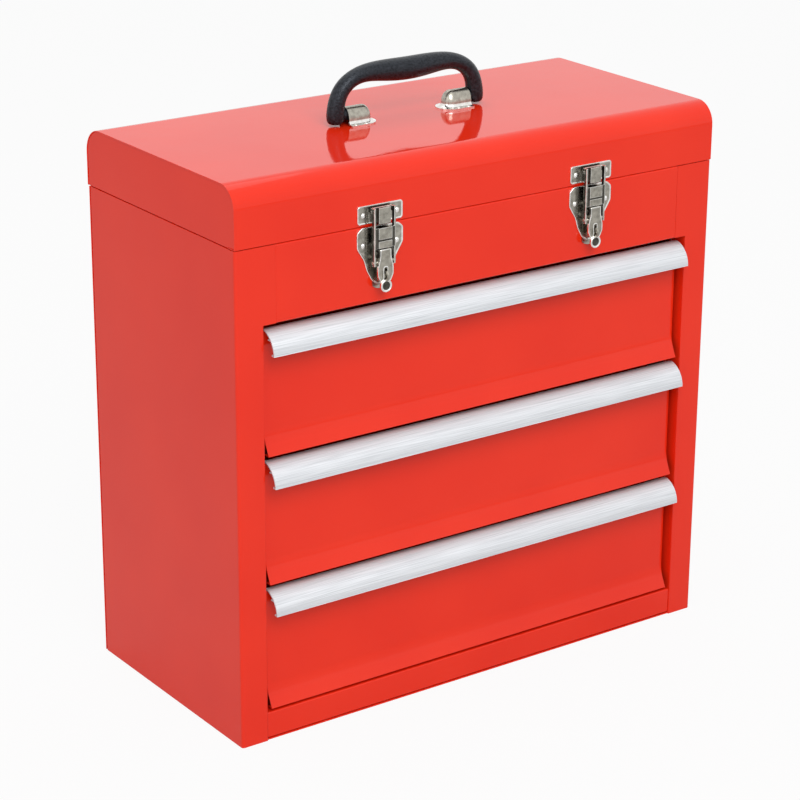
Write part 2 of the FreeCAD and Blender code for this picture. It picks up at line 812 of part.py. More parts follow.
def stay_places():
    """Where the stays turn on the lid and slide on the cabinet, and their shortest and longest reach."""
    along = f"({hinge_y} - stay_arm * cos(stay_angle * 1 deg))"
    high = f"({hinge_z} + stay_arm * sin(stay_angle * 1 deg))"
    low = f"({hinge_z} - stay_arm * sin(stay_angle * 1 deg))"
    near = "(2 * stay_arm * sin(stay_angle * 1 deg))"
    far = "(2 * stay_arm * sin((stay_angle + lid_swing / 2) * 1 deg))"
    return along, high, low, near, far


def lid_stay(name, side):
    """A slotted bar that turns on the lid, slides on the cabinet's stud and stops the open lid."""
    along, high, _, near, far = stay_places()
    body = new_body("lid_stay_" + name)
    inner = f"{half_width} - sheet - stay_inset - stay_sheet"
    outer = f"{half_width} - sheet - stay_inset"
    slot_half = "(stay_pin_radius + running_gap)"
    end_round = "(stay_width / 2 - sheet / 2)"
    bar = rectangle(f"{along} - stay_width / 2", f"{along} + stay_width / 2",
                    f"{high} - {far} - stay_width / 2", f"{high} + stay_width / 2", end_round)
    pad(body, "YZ", bar, *span(side, inner, outer))
    slot = rectangle(f"{along} - {slot_half}", f"{along} + {slot_half}",
                     f"{high} - {far} - {slot_half}", f"{high} - {near} + {slot_half}",
                     "stay_pin_radius")
    pocket(body, "YZ", slot, *span(side, inner, outer))
    drill(body, "YZ", along, high, "stay_pin_radius + pin_fit", *span(side, inner, outer))


def stay_stud(label, side, wall, along, height):
    """A headed stud with a shoulder, standing on a wall."""
    bar_outer = f"({half_width} - sheet - stay_inset)"
    bar_inner = f"({bar_outer} - stay_sheet)"
    head_start = f"{bar_inner} - running_gap - stay_head"
    shoulder = rod(label + "_shoulder", *span(side, f"{bar_outer} + running_gap", wall), along, height,
                   "stay_head_radius")
    shank = rod(label + "_shank", *span(side, f"{bar_inner} - running_gap", f"{bar_outer} + running_gap"),
                along, height, "stay_pin_radius")
    head = rod(label + "_head", *span(side, head_start, f"{bar_inner} - running_gap"), along, height,
               "stay_head_radius")
    return fuse(label, [shoulder, shank, head])


def stay_studs():
    """The studs that the stays turn and slide on."""
    along, high, low, _, _ = stay_places()
    lid_wall = f"{half_width} - lid_end_recess - sheet"
    body_wall = f"{half_width} - sheet"
    group("lid_stay_pivots",
          [stay_stud("lid_pivot_" + name, side, lid_wall, along, high) for name, side in SIDES])
    group("body_stay_studs",
          [stay_stud("body_stud_" + name, side, body_wall, along, low) for name, side in SIDES])


def latch_x(side, distance="0"):
    """A place across a latch, from its own middle."""
    return f"({side} * (body_width / 2 - latch_inset) + ({distance}))"


def latch_base(name, side):
    """The lower plate of a draw latch, with two pivot lugs and the padlock staple."""
    body = new_body("latch_base_" + name)
    plate_top = "(body_height - latch_top_drop)"
    plate_front = f"{front} - latch_sheet"
    half = "latch_width / 2"
    waist_half = f"latch_width / 2 * {LATCH_WAIST_WIDTH_SHARE}"
    shoulder_z = f"{plate_top} - latch_height * {LATCH_SHOULDER_SHARE}"
    waist_z = f"{plate_top} - latch_height * {LATCH_WAIST_DROP_SHARE}"
    tip_z = f"{plate_top} - latch_height * {LATCH_TIP_DROP_SHARE}"
    outline = [
        (latch_x(side, f"-({half}) + latch_chamfer"), plate_top),
        (latch_x(side, f"-({half})"), f"{plate_top} - latch_chamfer"),
        (latch_x(side, f"-({half})"), shoulder_z),
        (latch_x(side, f"-({waist_half})"), waist_z),
        (latch_x(side, "-latch_tip_width / 2"), tip_z, "left", "latch_tip_radius"),
        (latch_x(side, "latch_tip_width / 2"), tip_z),
        (latch_x(side, waist_half), waist_z),
        (latch_x(side, half), shoulder_z),
        (latch_x(side, half), f"{plate_top} - latch_chamfer"),
        (latch_x(side, f"{half} - latch_chamfer"), plate_top),
    ]
    pad(body, "XZ", outline, plate_front, front)
    lug = [
        (front, f"{pivot_z} - lug_radius"),
        (front, f"{pivot_z} + lug_radius"),
        (f"{pivot_y} - lug_radius", f"{pivot_z} + lug_radius", "lug_radius - latch_sheet"),
        (f"{pivot_y} - lug_radius", f"{pivot_z} - lug_radius", "lug_radius - latch_sheet"),
    ]
    lug_inner = "lever_width / 2 + running_gap"
    for lug_side in (-1, 1):
        start, end = span(lug_side, lug_inner, f"{lug_inner} + lug_sheet")
        pad(body, "YZ", lug, latch_x(side, start), latch_x(side, end))
    staple_z = f"({pivot_z} - lever_block_drop - slot_length / 2 - lever_sheet)"
    eye_y = f"({pivot_y} - lever_sheet / 2 - running_gap - staple_eye_radius)"
    staple_front = f"({eye_y} - staple_eye_radius - staple_eye_wall)"
    staple = [
        (front, f"{staple_z} - staple_height / 2"),
        (front, f"{staple_z} + staple_height / 2"),
        (staple_front, f"{staple_z} + staple_height / 2", "staple_eye_radius + staple_eye_wall"),
        (staple_front, f"{staple_z} - staple_height / 2", "staple_eye_radius + staple_eye_wall"),
    ]
    pad(body, "YZ", staple, latch_x(side, "-staple_sheet / 2"), latch_x(side, "staple_sheet / 2"))
    drill(body, "YZ", eye_y, staple_z, "staple_eye_radius",
          latch_x(side, "-staple_sheet"), latch_x(side, "staple_sheet"))
    drill(body, "YZ", pivot_y, pivot_z, "pivot_pin_radius + pin_fit",
          latch_x(side, f"-({lug_inner} + 2 * lug_sheet)"), latch_x(side, f"{lug_inner} + 2 * lug_sheet"))
    for across in (-1, 1):
        drill(body, "XZ", latch_x(side, f"{across} * latch_rivet_spacing / 2"),
              f"{plate_top} - latch_rivet_drop", "rivet_shank_radius + pin_fit",
              f"{plate_front} - sheet", front)


def latch_lever(name, side):
    """The lever of a draw latch: a block round the two pins and a slotted tail with a thumb lip."""
    body = new_body("latch_lever_" + name)
    tail_front = f"({pivot_y} - lever_sheet / 2)"
    tail_back = f"({pivot_y} + lever_sheet / 2)"
    block_front = f"({pivot_y} - lever_block_front)"
    tail_z = f"({pivot_z} - lever_tail_drop)"
    tip_z = f"({pivot_z} - lever_tip_drop)"
    profile = [
        (f"{pivot_y} + lever_block_back", f"{pivot_z} + lever_block_rise"),
        (block_front, f"{pivot_z} + lever_block_rise"),
        (block_front, f"{pivot_z} - lever_block_rise"),
        (f"{block_front} + lever_step", f"{pivot_z} - lever_block_rise"),
        (f"{block_front} + lever_step", f"{pivot_z} - lever_block_drop"),
        (tail_front, f"{pivot_z} - lever_block_drop"),
        (tail_front, tail_z),
        (f"{tail_front} - lever_tip_reach", tip_z),
        (f"{tail_back} - lever_tip_reach", f"{tip_z} - lever_sheet / 2"),
        (tail_back, f"{tail_z} - lever_sheet / 2"),
        (tail_back, f"{pivot_z} - lever_block_drop"),
        (f"{pivot_y} + lever_block_back", f"{pivot_z} - lever_block_drop"),
    ]
    left, right = latch_x(side, "-lever_width / 2"), latch_x(side, "lever_width / 2")
    pad(body, "YZ", profile, left, right)
    slot_top = f"{pivot_z} - lever_block_drop - lever_sheet"
    slot = rectangle(latch_x(side, "-slot_width / 2"), latch_x(side, "slot_width / 2"),
                     f"{slot_top} - slot_length", slot_top)
    pocket(body, "XZ", slot, f"{pivot_y} - pivot_reach", f"{pivot_y} + pivot_reach")
    drill(body, "YZ", pivot_y, pivot_z, "pivot_pin_radius + pin_fit", left, right)
    drill(body, "YZ", pivot_y, crank_z, "pivot_pin_radius + pin_fit", left, right)
    for across in (-1, 1):
        edge_x = f"{across} * lever_width / 2"
        inner_x = f"{across} * (lever_width / 2 - lever_tip_round)"
        corner = [
            (latch_x(side, edge_x), f"{tip_z} + lever_tip_round"),
            (latch_x(side, edge_x), f"{tip_z} - 2 * lever_sheet"),
            (latch_x(side, inner_x), f"{tip_z} - 2 * lever_sheet"),
            (latch_x(side, inner_x), tip_z, "left" if across > 0 else "right", "lever_tip_round"),
        ]
        pocket(body, "XZ", corner, f"{pivot_y} - 2 * pivot_reach", f"{pivot_y} + pivot_reach")


def latch_bail(name, side):
    """The bail of a draw latch: two rails, a bar behind the keeper's lip and a bridge plate."""
    body = new_body("latch_bail_" + name)
    rail_back = f"({pivot_y} + bail_depth / 2 + sheet)"
    rail_front = f"({rail_back} - bail_depth)"
    bail_top = f"({trough_z} + running_gap + bail_bar_height)"
    half = "(bail_spacing / 2)"
    for across in (-1, 1):
        start, end = span(across, f"{half} - bail_sheet", half)
        rail = rectangle(rail_front, rail_back, f"{crank_z} - bail_depth / 2", bail_top, "sheet")
        pad(body, "YZ", rail, latch_x(side, start), latch_x(side, end))
        if across == -1:
            bar = rectangle(latch_x(side, f"-{half}"), latch_x(side, half),
                            f"{trough_z} + running_gap", f"{bail_top} - sheet / 2")
            pad(body, "XZ", bar, f"{rail_back} - bail_bar_depth - sheet / 2", f"{rail_back} - sheet / 2")
            bridge_low = f"({pivot_z} + lever_block_rise + bridge_drop / 2)"
            bridge = rectangle(latch_x(side, f"-{half}"), latch_x(side, half),
                               bridge_low, f"{bridge_low} + bridge_height")
            pad(body, "XZ", bridge, rail_front, f"{rail_front} + latch_sheet")
    drill(body, "YZ", pivot_y, crank_z, "pivot_pin_radius + pin_fit",
          latch_x(side, f"-{half} - sheet"), latch_x(side, f"{half} + sheet"))


def latch_keeper(name, side):
    """The upper plate of a draw latch on the lid, with a hook that the bail pulls down on."""
    body = new_body("latch_keeper_" + name)
    low = f"({lid_bottom} + keeper_lift)"
    plate_front = f"{front} - latch_sheet"
    plate = rectangle(latch_x(side, "-latch_width / 2"), latch_x(side, "latch_width / 2"),
                      low, f"{low} + keeper_height", "keeper_corner")
    pad(body, "XZ", plate, plate_front, front)
    hook_front = f"({front} - hook_reach)"
    hook = [
        (front, low),
        (hook_front, low, "hook_lip_wall"),
        (hook_front, f"{trough_z} + hook_lip"),
        (f"{hook_front} + hook_lip_wall", f"{trough_z} + hook_lip"),
        (f"{hook_front} + hook_lip_wall", trough_z),
        (front, trough_z),
    ]
    pad(body, "YZ", hook, latch_x(side, "-hook_width / 2"), latch_x(side, "hook_width / 2"))
    for across in (-1, 1):
        drill(body, "XZ", latch_x(side, f"{across} * latch_rivet_spacing / 2"),
              f"{low} + keeper_height / 2", "rivet_shank_radius + pin_fit", f"{plate_front} - sheet", front)


def latch_pins():
    """The pins that the levers turn on, and the pins that the bails turn on."""
    lug_outer = "(lever_width / 2 + running_gap + lug_sheet)"
    pins = []
    for name, side in SIDES:
        pins.append(rod("lever_pin_" + name, latch_x(side, f"-{lug_outer} - sheet / 2"),
                        latch_x(side, f"{lug_outer} + sheet / 2"), pivot_y, pivot_z, "pivot_pin_radius"))
        label = "bail_pin_" + name
        nodes[label] = rod(label, latch_x(side, "-bail_spacing / 2 - sheet / 2"),
                           latch_x(side, "bail_spacing / 2 + sheet / 2"), pivot_y, crank_z,
                           "pivot_pin_radius")
    group("lever_pins", pins)


def rivet_shape(plate):
    """A domed rivet along +Z whose head starts at the plate's outer face."""
    head, height, shank = value("rivet_head_radius"), value("rivet_head"), value("rivet_shank_radius")
    crown = Vector(0, 0, plate + height)
    rim = Vector(head, 0, plate)
    dome_radius = (head ** 2 + height ** 2) / (2 * height)
    half_turn = math.asin(head / dome_radius) / 2
    shoulder_drop = dome_radius * (1 - math.cos(half_turn))
    shoulder = Vector(dome_radius * math.sin(half_turn), 0, crown.z - shoulder_drop)
    steps = [Vector(0, 0, 0), Vector(shank, 0, 0), Vector(shank, 0, plate), rim]
    edges = [Part.makeLine(a, b) for a, b in zip(steps, steps[1:])]
    edges.append(Part.Arc(rim, shoulder, crown).toShape())
    edges.append(Part.makeLine(crown, steps[0]))
    return Part.Face(Part.Wire(edges)).revolve(Vector(0, 0, 0), Vector(0, 0, 1), 360)


def rivets(label, places, plate, turn):
    """A group of rivets, each seated on a plate at its place and turned to face outwards."""
    copies = []
    for x, y, z in places:
        copy = rivet_shape(value(plate))
        copy.Placement = FreeCAD.Placement(Vector(value(x), value(y), value(z)), turn)
        copies.append(copy)
    feature = doc.addObject("Part::Feature", label)
    feature.Label = label
    feature.Shape = Part.makeCompound(copies)
    nodes[label] = feature


def latch_rivets():
    """Two rivets in each wing pair of the latch plates."""
    forward = FreeCAD.Rotation(Vector(1, 0, 0), 90)
    base_z = "body_height - latch_top_drop - latch_rivet_drop"
    keeper_z = f"{lid_bottom} + keeper_lift + keeper_height / 2"
    wings = [latch_x(side, f"{across} * latch_rivet_spacing / 2") for _, side in SIDES for across in (-1, 1)]
    rivets("latch_base_rivets", [(x, front, base_z) for x in wings], "latch_sheet", forward)
    rivets("latch_keeper_rivets", [(x, front, keeper_z) for x in wings], "latch_sheet", forward)


def strap_hollow(label, side, radius, low):
    """The round-topped space of a handle strap, or its outside, with a rounded inner end."""
    nose = f"{strap_outer} - strap_length"
    nose_x = f"{side} * ({nose})"
    return fuse(label, [
        rod(label + "_tube", *span(side, nose, strap_outer), lid_middle, handle_z, radius),
        ball(label + "_nose", nose_x, lid_middle, handle_z, radius),
        post(label + "_foot", nose_x, lid_middle, low, handle_z, radius),
        box(label + "_sides", *span(side, nose, strap_outer), f"{lid_middle} - ({radius})",
            f"{lid_middle} + ({radius})", low, handle_z),
    ])


def handle_strap(name, side):
    """A plated strap over the handle's barrel, with a riveted flange and a closed inner end."""
    label = "handle_strap_" + name
    inner = "handle_barrel + barrel_gap"
    outside = strap_hollow(label + "_outside", side, f"{inner} + strap_sheet", lid_top)
    inside = strap_hollow(label + "_inside", side, inner, f"{lid_top} - sheet")
    cavity = rod(label + "_mouth", *span(side, f"{strap_outer} - strap_length", f"{strap_outer} + sheet"),
                 lid_middle, handle_z, inner)
    flange = inner_body(label + "_flange")
    nose_end = f"({strap_outer} - strap_length - {inner} - strap_sheet - strap_nose)"
    outline = [
        (strap_outer, f"{lid_middle} - strap_flange"),
        (strap_outer, f"{lid_middle} + strap_flange"),
        (f"{strap_outer} - strap_length - {inner}", f"{lid_middle} + strap_flange"),
        (nose_end, lid_middle),
        (f"{strap_outer} - strap_length - {inner}", f"{lid_middle} - strap_flange"),
    ]
    pad(flange, "XY", mirrored(side, outline), lid_top, f"{lid_top} + strap_sheet")
    for inset in STRAP_RIVET_SHARES:
        for across in (-1, 1):
            drill(flange, "XY", strap_rivet_x(side, inset),
                  f"{lid_middle} + {across} * (strap_flange - strap_rivet_inset)",
                  "rivet_shank_radius + pin_fit", lid_top, f"{lid_top} + 2 * strap_sheet")
    whole = fuse(label + "_whole", [outside, flange])
    solid_part = common(label + "_above_lid", whole, box(
        label + "_room", *span(side, nose_end, strap_outer), f"{lid_middle} - strap_flange",
        f"{lid_middle} + strap_flange", lid_top, f"{handle_z} + {inner} + 2 * strap_sheet"))
    nodes[label] = cut(label, solid_part, fuse(label + "_space", [inside, cavity]))


def strap_rivet_x(side, share):
    """A rivet's place along a strap, as a share of the strap's length with its round end."""
    return f"{side} * ({strap_outer} - {share} * (strap_length + handle_barrel))"


def strap_rivets():
    """The rivets through the straps' flanges."""
    places = []
    for _, side in SIDES:
        for share in STRAP_RIVET_SHARES:
            for across in (-1, 1):
                places.append((strap_rivet_x(side, share),
                               f"{lid_middle} + {across} * (strap_flange - strap_rivet_inset)", lid_top))
    rivets("strap_rivets", places, "strap_sheet", FreeCAD.Rotation())


def grip_section(centre, direction, in_plane, across):
    """A closed oval across the arch at one station."""
    circle = Part.Circle(Vector(0, 0, 0), Vector(0, 0, 1), 1).toShape()
    stretch = FreeCAD.Matrix()
    stretch.scale(in_plane, across, 1)
    oval = circle.transformGeometry(stretch)
    normal = Vector(-direction.z, 0, direction.x)
    turn = FreeCAD.Rotation(normal, Vector(0, 1, 0), direction, "ZYX")
    return Part.Wire([oval.transformed(FreeCAD.Placement(centre, turn).toMatrix())])


def handle_grip():
    """The moulded handle: an arch of changing thickness with a barrel on each foot."""
    span_half, rise, foot = value("handle_span") / 2, value("handle_rise"), value("handle_foot")
    barrel = value("handle_barrel")
    middle, height = value(lid_middle), value(handle_z)
    half = [(Vector(x * span_half, middle, height + z * rise), a * foot, b * foot)
            for x, z, a, b in GRIP_STATION_SHARES]
    other = [(Vector(-place.x, place.y, place.z), a, b) for place, a, b in reversed(half[:-1])]
    stations = half + other
    wires = []
    for index, (place, in_plane, across) in enumerate(stations):
        before = stations[max(index - 1, 0)][0]
        after = stations[min(index + 1, len(stations) - 1)][0]
        wires.append(grip_section(place, (after - before).normalize(), in_plane, across))
    grip = Part.makeLoft(wires, True, False)
    for _, side in SIDES:
        start = Vector(side * span_half, middle, height)
        length = span_half - value(strap_outer) + value("barrel_reach")
        grip = grip.fuse(Part.makeCylinder(barrel, length, start, Vector(-side, 0, 0)))
    feature = doc.addObject("Part::Feature", "handle_grip")
    feature.Label = "handle_grip"
    feature.Shape = grip.removeSplitter()
    nodes["handle_grip"] = feature


# Cabinet
for side_name, side_sign in SIDES:
    side_panel(side_name, side_sign)
    slide_post(side_name, side_sign, "front", f"({front} + stile_return + running_gap)")
    slide_post(side_name, side_sign, "rear", f"({slide_back} - rear_post_inset - post_width)")
back_panel()
base_plate()
front_fascia()
kick_rail()
compartment_floor()

# Drawers
for drawer_number in range(1, DRAWERS + 1):
    drawer(drawer_number)

# Lid, hinge and stays
lid_wrap()
hinge()
stay_studs()
for side_name, side_sign in SIDES:
    lid_end(side_name, side_sign)
    lid_stay(side_name, side_sign)

# Latches
for side_name, side_sign in SIDES:
    latch_base(side_name, side_sign)
    latch_lever(side_name, side_sign)
    latch_bail(side_name, side_sign)
    latch_keeper(side_name, side_sign)
latch_pins()
latch_rivets()

# Handle
for side_name, side_sign in SIDES:
    handle_strap(side_name, side_sign)
strap_rivets()
handle_grip()

doc.recompute()

# Every object must be sound before anything is written.
for item in doc.Objects:
    if "Invalid" in item.State or "Error" in item.State:
        raise RuntimeError(f"{item.Label} failed: {item.State}")
for feature in cuts:
    if not feature.Shape.Volume < feature.BaseFeature.Shape.Volume:
        raise RuntimeError(f"{feature.Label} removes nothing")
for label, item in nodes.items():
    if item.Shape.isNull() or not item.Shape.isValid() or not item.Shape.Solids:
        raise RuntimeError(f"{label} has no sound shape")

os.makedirs("parts", exist_ok=True)
for label, item in nodes.items():
    item.Shape.exportStep(f"parts/{label}.step")
print(len(nodes), "nodes")
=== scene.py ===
import bmesh
import bpy
from math import atan2, cos, pi, radians, sin
from mathutils import Matrix, Vector


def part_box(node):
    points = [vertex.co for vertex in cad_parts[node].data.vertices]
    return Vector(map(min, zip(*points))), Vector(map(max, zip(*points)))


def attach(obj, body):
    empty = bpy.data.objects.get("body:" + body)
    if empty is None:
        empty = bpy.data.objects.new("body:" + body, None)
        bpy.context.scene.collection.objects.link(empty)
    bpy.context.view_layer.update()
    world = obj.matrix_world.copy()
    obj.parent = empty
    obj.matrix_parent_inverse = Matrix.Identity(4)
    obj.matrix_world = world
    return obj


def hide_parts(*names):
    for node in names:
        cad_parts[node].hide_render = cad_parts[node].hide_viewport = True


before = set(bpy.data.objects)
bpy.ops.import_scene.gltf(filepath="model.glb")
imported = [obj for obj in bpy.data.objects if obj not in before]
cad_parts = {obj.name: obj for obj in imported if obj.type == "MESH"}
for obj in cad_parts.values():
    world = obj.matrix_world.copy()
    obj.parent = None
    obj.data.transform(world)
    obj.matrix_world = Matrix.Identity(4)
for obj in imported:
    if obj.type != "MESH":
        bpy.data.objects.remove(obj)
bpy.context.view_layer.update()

# Portable tool box with three drawers. Everything is in metres, and one millimetre is MM.
MM = 0.001


# Camera. The photograph looks down on the box from its front left corner through a long lens.
CAMERA_PLACE = (-1.2982, -1.8144, 1.0566)
CAMERA_AZIMUTH, CAMERA_ELEVATION, CAMERA_ROLL = radians(-35.475), radians(20.306), radians(0.369)
LENS_MM, SENSOR_MM, FARTHEST_VIEW = 116.18, 36.0, 60

towards_camera = Vector((sin(CAMERA_AZIMUTH) * cos(CAMERA_ELEVATION),
                         -cos(CAMERA_AZIMUTH) * cos(CAMERA_ELEVATION),
                         sin(CAMERA_ELEVATION)))
level_right = Vector((cos(CAMERA_AZIMUTH), sin(CAMERA_AZIMUTH), 0))
upright = towards_camera.cross(level_right)
right = level_right * cos(CAMERA_ROLL) + upright * sin(CAMERA_ROLL)
up = towards_camera.cross(right)

camera = bpy.data.objects.new("camera", bpy.data.cameras.new("camera"))
camera.data.lens = LENS_MM
camera.data.sensor_width = SENSOR_MM
camera.data.clip_end = FARTHEST_VIEW
camera.matrix_world = (Matrix.Translation(CAMERA_PLACE)
                       @ Matrix((right, up, towards_camera)).transposed().to_4x4())
bpy.context.scene.collection.objects.link(camera)
bpy.context.scene.camera = camera
bpy.context.scene.view_settings.view_transform = "Standard"


# Backdrop. A plain white studio: the world is white where the camera, a reflection or glass sees
# it, and a softer grey as light on the object.
BACKDROP_WHITE = (1, 1, 1, 1)
SURROUND_LIGHT = 0.55


def add_node(tree, kind, inputs=None, **settings):
    """Adds one node with its settings. An input is given a value or another node's output."""
    node = tree.nodes.new("ShaderNode" + kind)
    for name, choice in settings.items():
        setattr(node, name, choice)
    for socket, source in (inputs or {}).items():
        if isinstance(source, bpy.types.NodeSocket):
            tree.links.new(source, node.inputs[socket])
        else:
            node.inputs[socket].default_value = source
    return node


world = bpy.data.worlds.new("studio")
world.use_nodes = True
bpy.context.scene.world = world
air = world.node_tree
air.nodes.clear()
path = add_node(air, "LightPath").outputs
pictured = add_node(air, "Math", {0: path["Is Camera Ray"], 1: path["Is Glossy Ray"]},
                    operation="MAXIMUM")
pictured = add_node(air, "Math", {0: pictured.outputs[0], 1: path["Is Transmission Ray"]},
                    operation="MAXIMUM")
lighting = add_node(air, "Background", {"Color": BACKDROP_WHITE, "Strength": SURROUND_LIGHT})
shown = add_node(air, "Background", {"Color": BACKDROP_WHITE, "Strength": 1.0})
either = add_node(air, "MixShader", {0: pictured.outputs[0], 1: lighting.outputs[0],
                                     2: shown.outputs[0]})
add_node(air, "OutputWorld", {"Surface": either.outputs[0]})


# Floor. A matt white sweep that keeps a faint shadow of the box. The gloss of the paint and the
# plating shows it less bright than it looks from the camera.
FLOOR_HALF, FLOOR_DROP = 6.0, 0.2 * MM
FLOOR_SHADE, FLOOR_GLOW, FLOOR_MIRRORED = "#D4D4D4", 0.93, 0.22


def from_hex(text):
    """An sRGB hex colour as the linear colour that a shader takes."""
    channels = [int(text[start:start + 2], 16) / 255 for start in (1, 3, 5)]
    linear = [c / 12.92 if c <= 0.04045 else ((c + 0.055) / 1.055) ** 2.4 for c in channels]
    return (*linear, 1)


ground = bmesh.new()
bmesh.ops.create_grid(ground, x_segments=1, y_segments=1, size=FLOOR_HALF,
                      matrix=Matrix.Translation((0, 0, -FLOOR_DROP)))
floor_mesh = bpy.data.meshes.new("floor")
ground.to_mesh(floor_mesh)
ground.free()
floor = bpy.data.objects.new("floor", floor_mesh)
bpy.context.scene.collection.objects.link(floor)

# Matt white paper: no gloss of its own, and a glow that brings it to white in the picture.
matt_white = bpy.data.materials.new("matt_white_sweep")
matt_white.use_nodes = True
sweep = matt_white.node_tree
sweep.nodes.clear()
path = add_node(sweep, "LightPath").outputs
clear_view = add_node(sweep, "Math", {0: path["Is Camera Ray"], 1: path["Is Transmission Ray"]},
                      operation="MAXIMUM")
mirrored = add_node(sweep, "Math", {0: path["Is Glossy Ray"], 1: FLOOR_MIRRORED},
                    operation="MULTIPLY")
pictured = add_node(sweep, "Math", {0: clear_view.outputs[0], 1: mirrored.outputs[0]},
                    operation="MAXIMUM")
glow_part = add_node(sweep, "Math", {0: pictured.outputs[0], 1: FLOOR_GLOW}, operation="MULTIPLY")
lit = add_node(sweep, "BsdfDiffuse", {"Color": from_hex(FLOOR_SHADE)})
glow = add_node(sweep, "Emission", {"Color": BACKDROP_WHITE, "Strength": 1.0})
both = add_node(sweep, "MixShader", {0: glow_part.outputs[0], 1: lit.outputs[0],
                                     2: glow.outputs[0]})
add_node(sweep, "OutputMaterial", {"Surface": both.outputs[0]})
floor_mesh.materials.append(matt_white)


# Lamps. Three large soft boxes: one high at the front left, one at the left and one overhead.
# Each is its place, its width and its power in watts, and all look at the middle of the box.
SOFT_BOXES = {
    "front_soft_box": ((-0.9, -2.9, 2.9), 2.4, 85),
    "left_soft_box": ((-2.8, -0.7, 1.5), 2.0, 10),
    "top_soft_box": ((0.1, 0.5, 2.6), 2.0, 10),
}
LIT_POINT = Vector((0, 0, 0.3))

for label, (stand, width, watts) in SOFT_BOXES.items():
    lamp = bpy.data.objects.new(label, bpy.data.lights.new(label, "AREA"))
    lamp.data.shape = "SQUARE"
    lamp.data.size = width
    lamp.data.energy = watts
    lamp.location = stand
    lamp.rotation_euler = (LIT_POINT - Vector(stand)).to_track_quat("-Z", "Y").to_euler()
    bpy.context.scene.collection.objects.link(lamp)


# Cabinet. Folded sheet steel 1 mm thick, spot welded and then painted in one piece: two side
# panels with the front corners folded round, back, base, front fascia over the drawers, bottom
# rail and the floor of the top compartment.
SHEET_EDGE, ROLLED_EDGE, ROUNDING_STEPS = 0.35 * MM, 0.95 * MM, 3
FRONT_BEND, FRONT_BEND_STEPS, UPRIGHT_LEAST = 1.5 * MM, 5, 100 * MM
OUTER_REACH, FRONT_PLANE = 254.8 * MM, 119.8 * MM
MERGE_DISTANCE, LEVEL_SLACK = 0.001 * MM, 0.02 * MM
FLAT_ANGLE, CORNER_ANGLE, SMOOTH_ANGLE = radians(0.3), radians(28), radians(36)

PAINT_RED, PAINT_RED_DEEP = "#EE3014", "#E82A10"
PAINT_GLOSSIEST, PAINT_DULLEST, PAINT_IOR = 0.044, 0.0715, 1.39
PEEL_PITCH, PEEL_DEPTH = 2.6 * MM, 0.016 * MM
WAVE_PITCH, WAVE_DEPTH = 70 * MM, 0.30 * MM
CLOUD_PITCH, FINE_DETAIL = 120 * MM, 3.0
NIB_PITCH, NIB_RADIUS, NIB_DEPTH = 8 * MM, 0.35 * MM, 0.02 * MM
# The lowest and highest values that a noise often reaches.
NOISE_LOW, NOISE_HIGH = 0.3, 0.7


def new_finish(name):
    """A new node material with its nodes, its shader and its object coordinates."""
    material = bpy.data.materials.new(name)
    material.use_nodes = True
    tree = material.node_tree
    coords = add_node(tree, "TexCoord").outputs["Object"]
    return material, tree, tree.nodes["Principled BSDF"], coords


# Baked enamel on sheet steel: a hard glossy coat with the fine ripple of sprayed paint, the slow
# waviness of thin sheet under it, slight clouding of the red and a few specks of dust in the coat.
baked_enamel, paint, shader, coords = new_finish("baked_red_enamel")
clouds = add_node(paint, "TexNoise", {"Vector": coords, "Scale": 1 / CLOUD_PITCH})
cloud = add_node(paint, "MapRange", {"Value": clouds.outputs["Fac"], "From Min": NOISE_LOW,
                                     "From Max": NOISE_HIGH})
red = add_node(paint, "Mix", {"Factor": cloud.outputs["Result"], "A": from_hex(PAINT_RED),
                              "B": from_hex(PAINT_RED_DEEP)}, data_type="RGBA")
haze = add_node(paint, "TexNoise", {"Vector": coords, "Scale": 1 / CLOUD_PITCH,
                                    "Detail": FINE_DETAIL})
sheen = add_node(paint, "MapRange", {"Value": haze.outputs["Fac"], "From Min": NOISE_LOW,
                                     "From Max": NOISE_HIGH, "To Min": PAINT_GLOSSIEST,
                                     "To Max": PAINT_DULLEST})
waves = add_node(paint, "TexNoise", {"Vector": coords, "Scale": 1 / WAVE_PITCH})
peel = add_node(paint, "TexNoise", {"Vector": coords, "Scale": 1 / PEEL_PITCH})
specks = add_node(paint, "TexVoronoi", {"Vector": coords, "Scale": 1 / NIB_PITCH}, feature="F1")
nibs = add_node(paint, "MapRange", {"Value": specks.outputs["Distance"], "From Min": 0.0,
                                    "From Max": NIB_RADIUS / NIB_PITCH, "To Min": 1.0,
                                    "To Max": 0.0})
under = {}
for height, depth in ((waves.outputs["Fac"], WAVE_DEPTH), (peel.outputs["Fac"], PEEL_DEPTH),
                      (nibs.outputs["Result"], NIB_DEPTH)):
    relief = add_node(paint, "Bump", {"Height": height, "Distance": depth, **under})
    under = {"Normal": relief.outputs["Normal"]}
paint.links.new(red.outputs["Result"], shader.inputs["Base Color"])
paint.links.new(sheen.outputs["Result"], shader.inputs["Roughness"])
paint.links.new(relief.outputs["Normal"], shader.inputs["Normal"])
shader.inputs["IOR"].default_value = PAINT_IOR


def make_whole(shape):
    """Joins the points of a shape that coincide, and its faces that lie in one plane."""
    bmesh.ops.remove_doubles(shape, verts=shape.verts, dist=MERGE_DISTANCE)
    bmesh.ops.dissolve_limit(shape, angle_limit=FLAT_ANGLE, verts=shape.verts, edges=shape.edges)


def merged_copy(node):
    """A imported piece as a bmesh: its loose triangles joined and its flat faces made whole."""
    shape = bmesh.new()
    shape.from_mesh(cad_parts[node].data)
    make_whole(shape)
    return shape


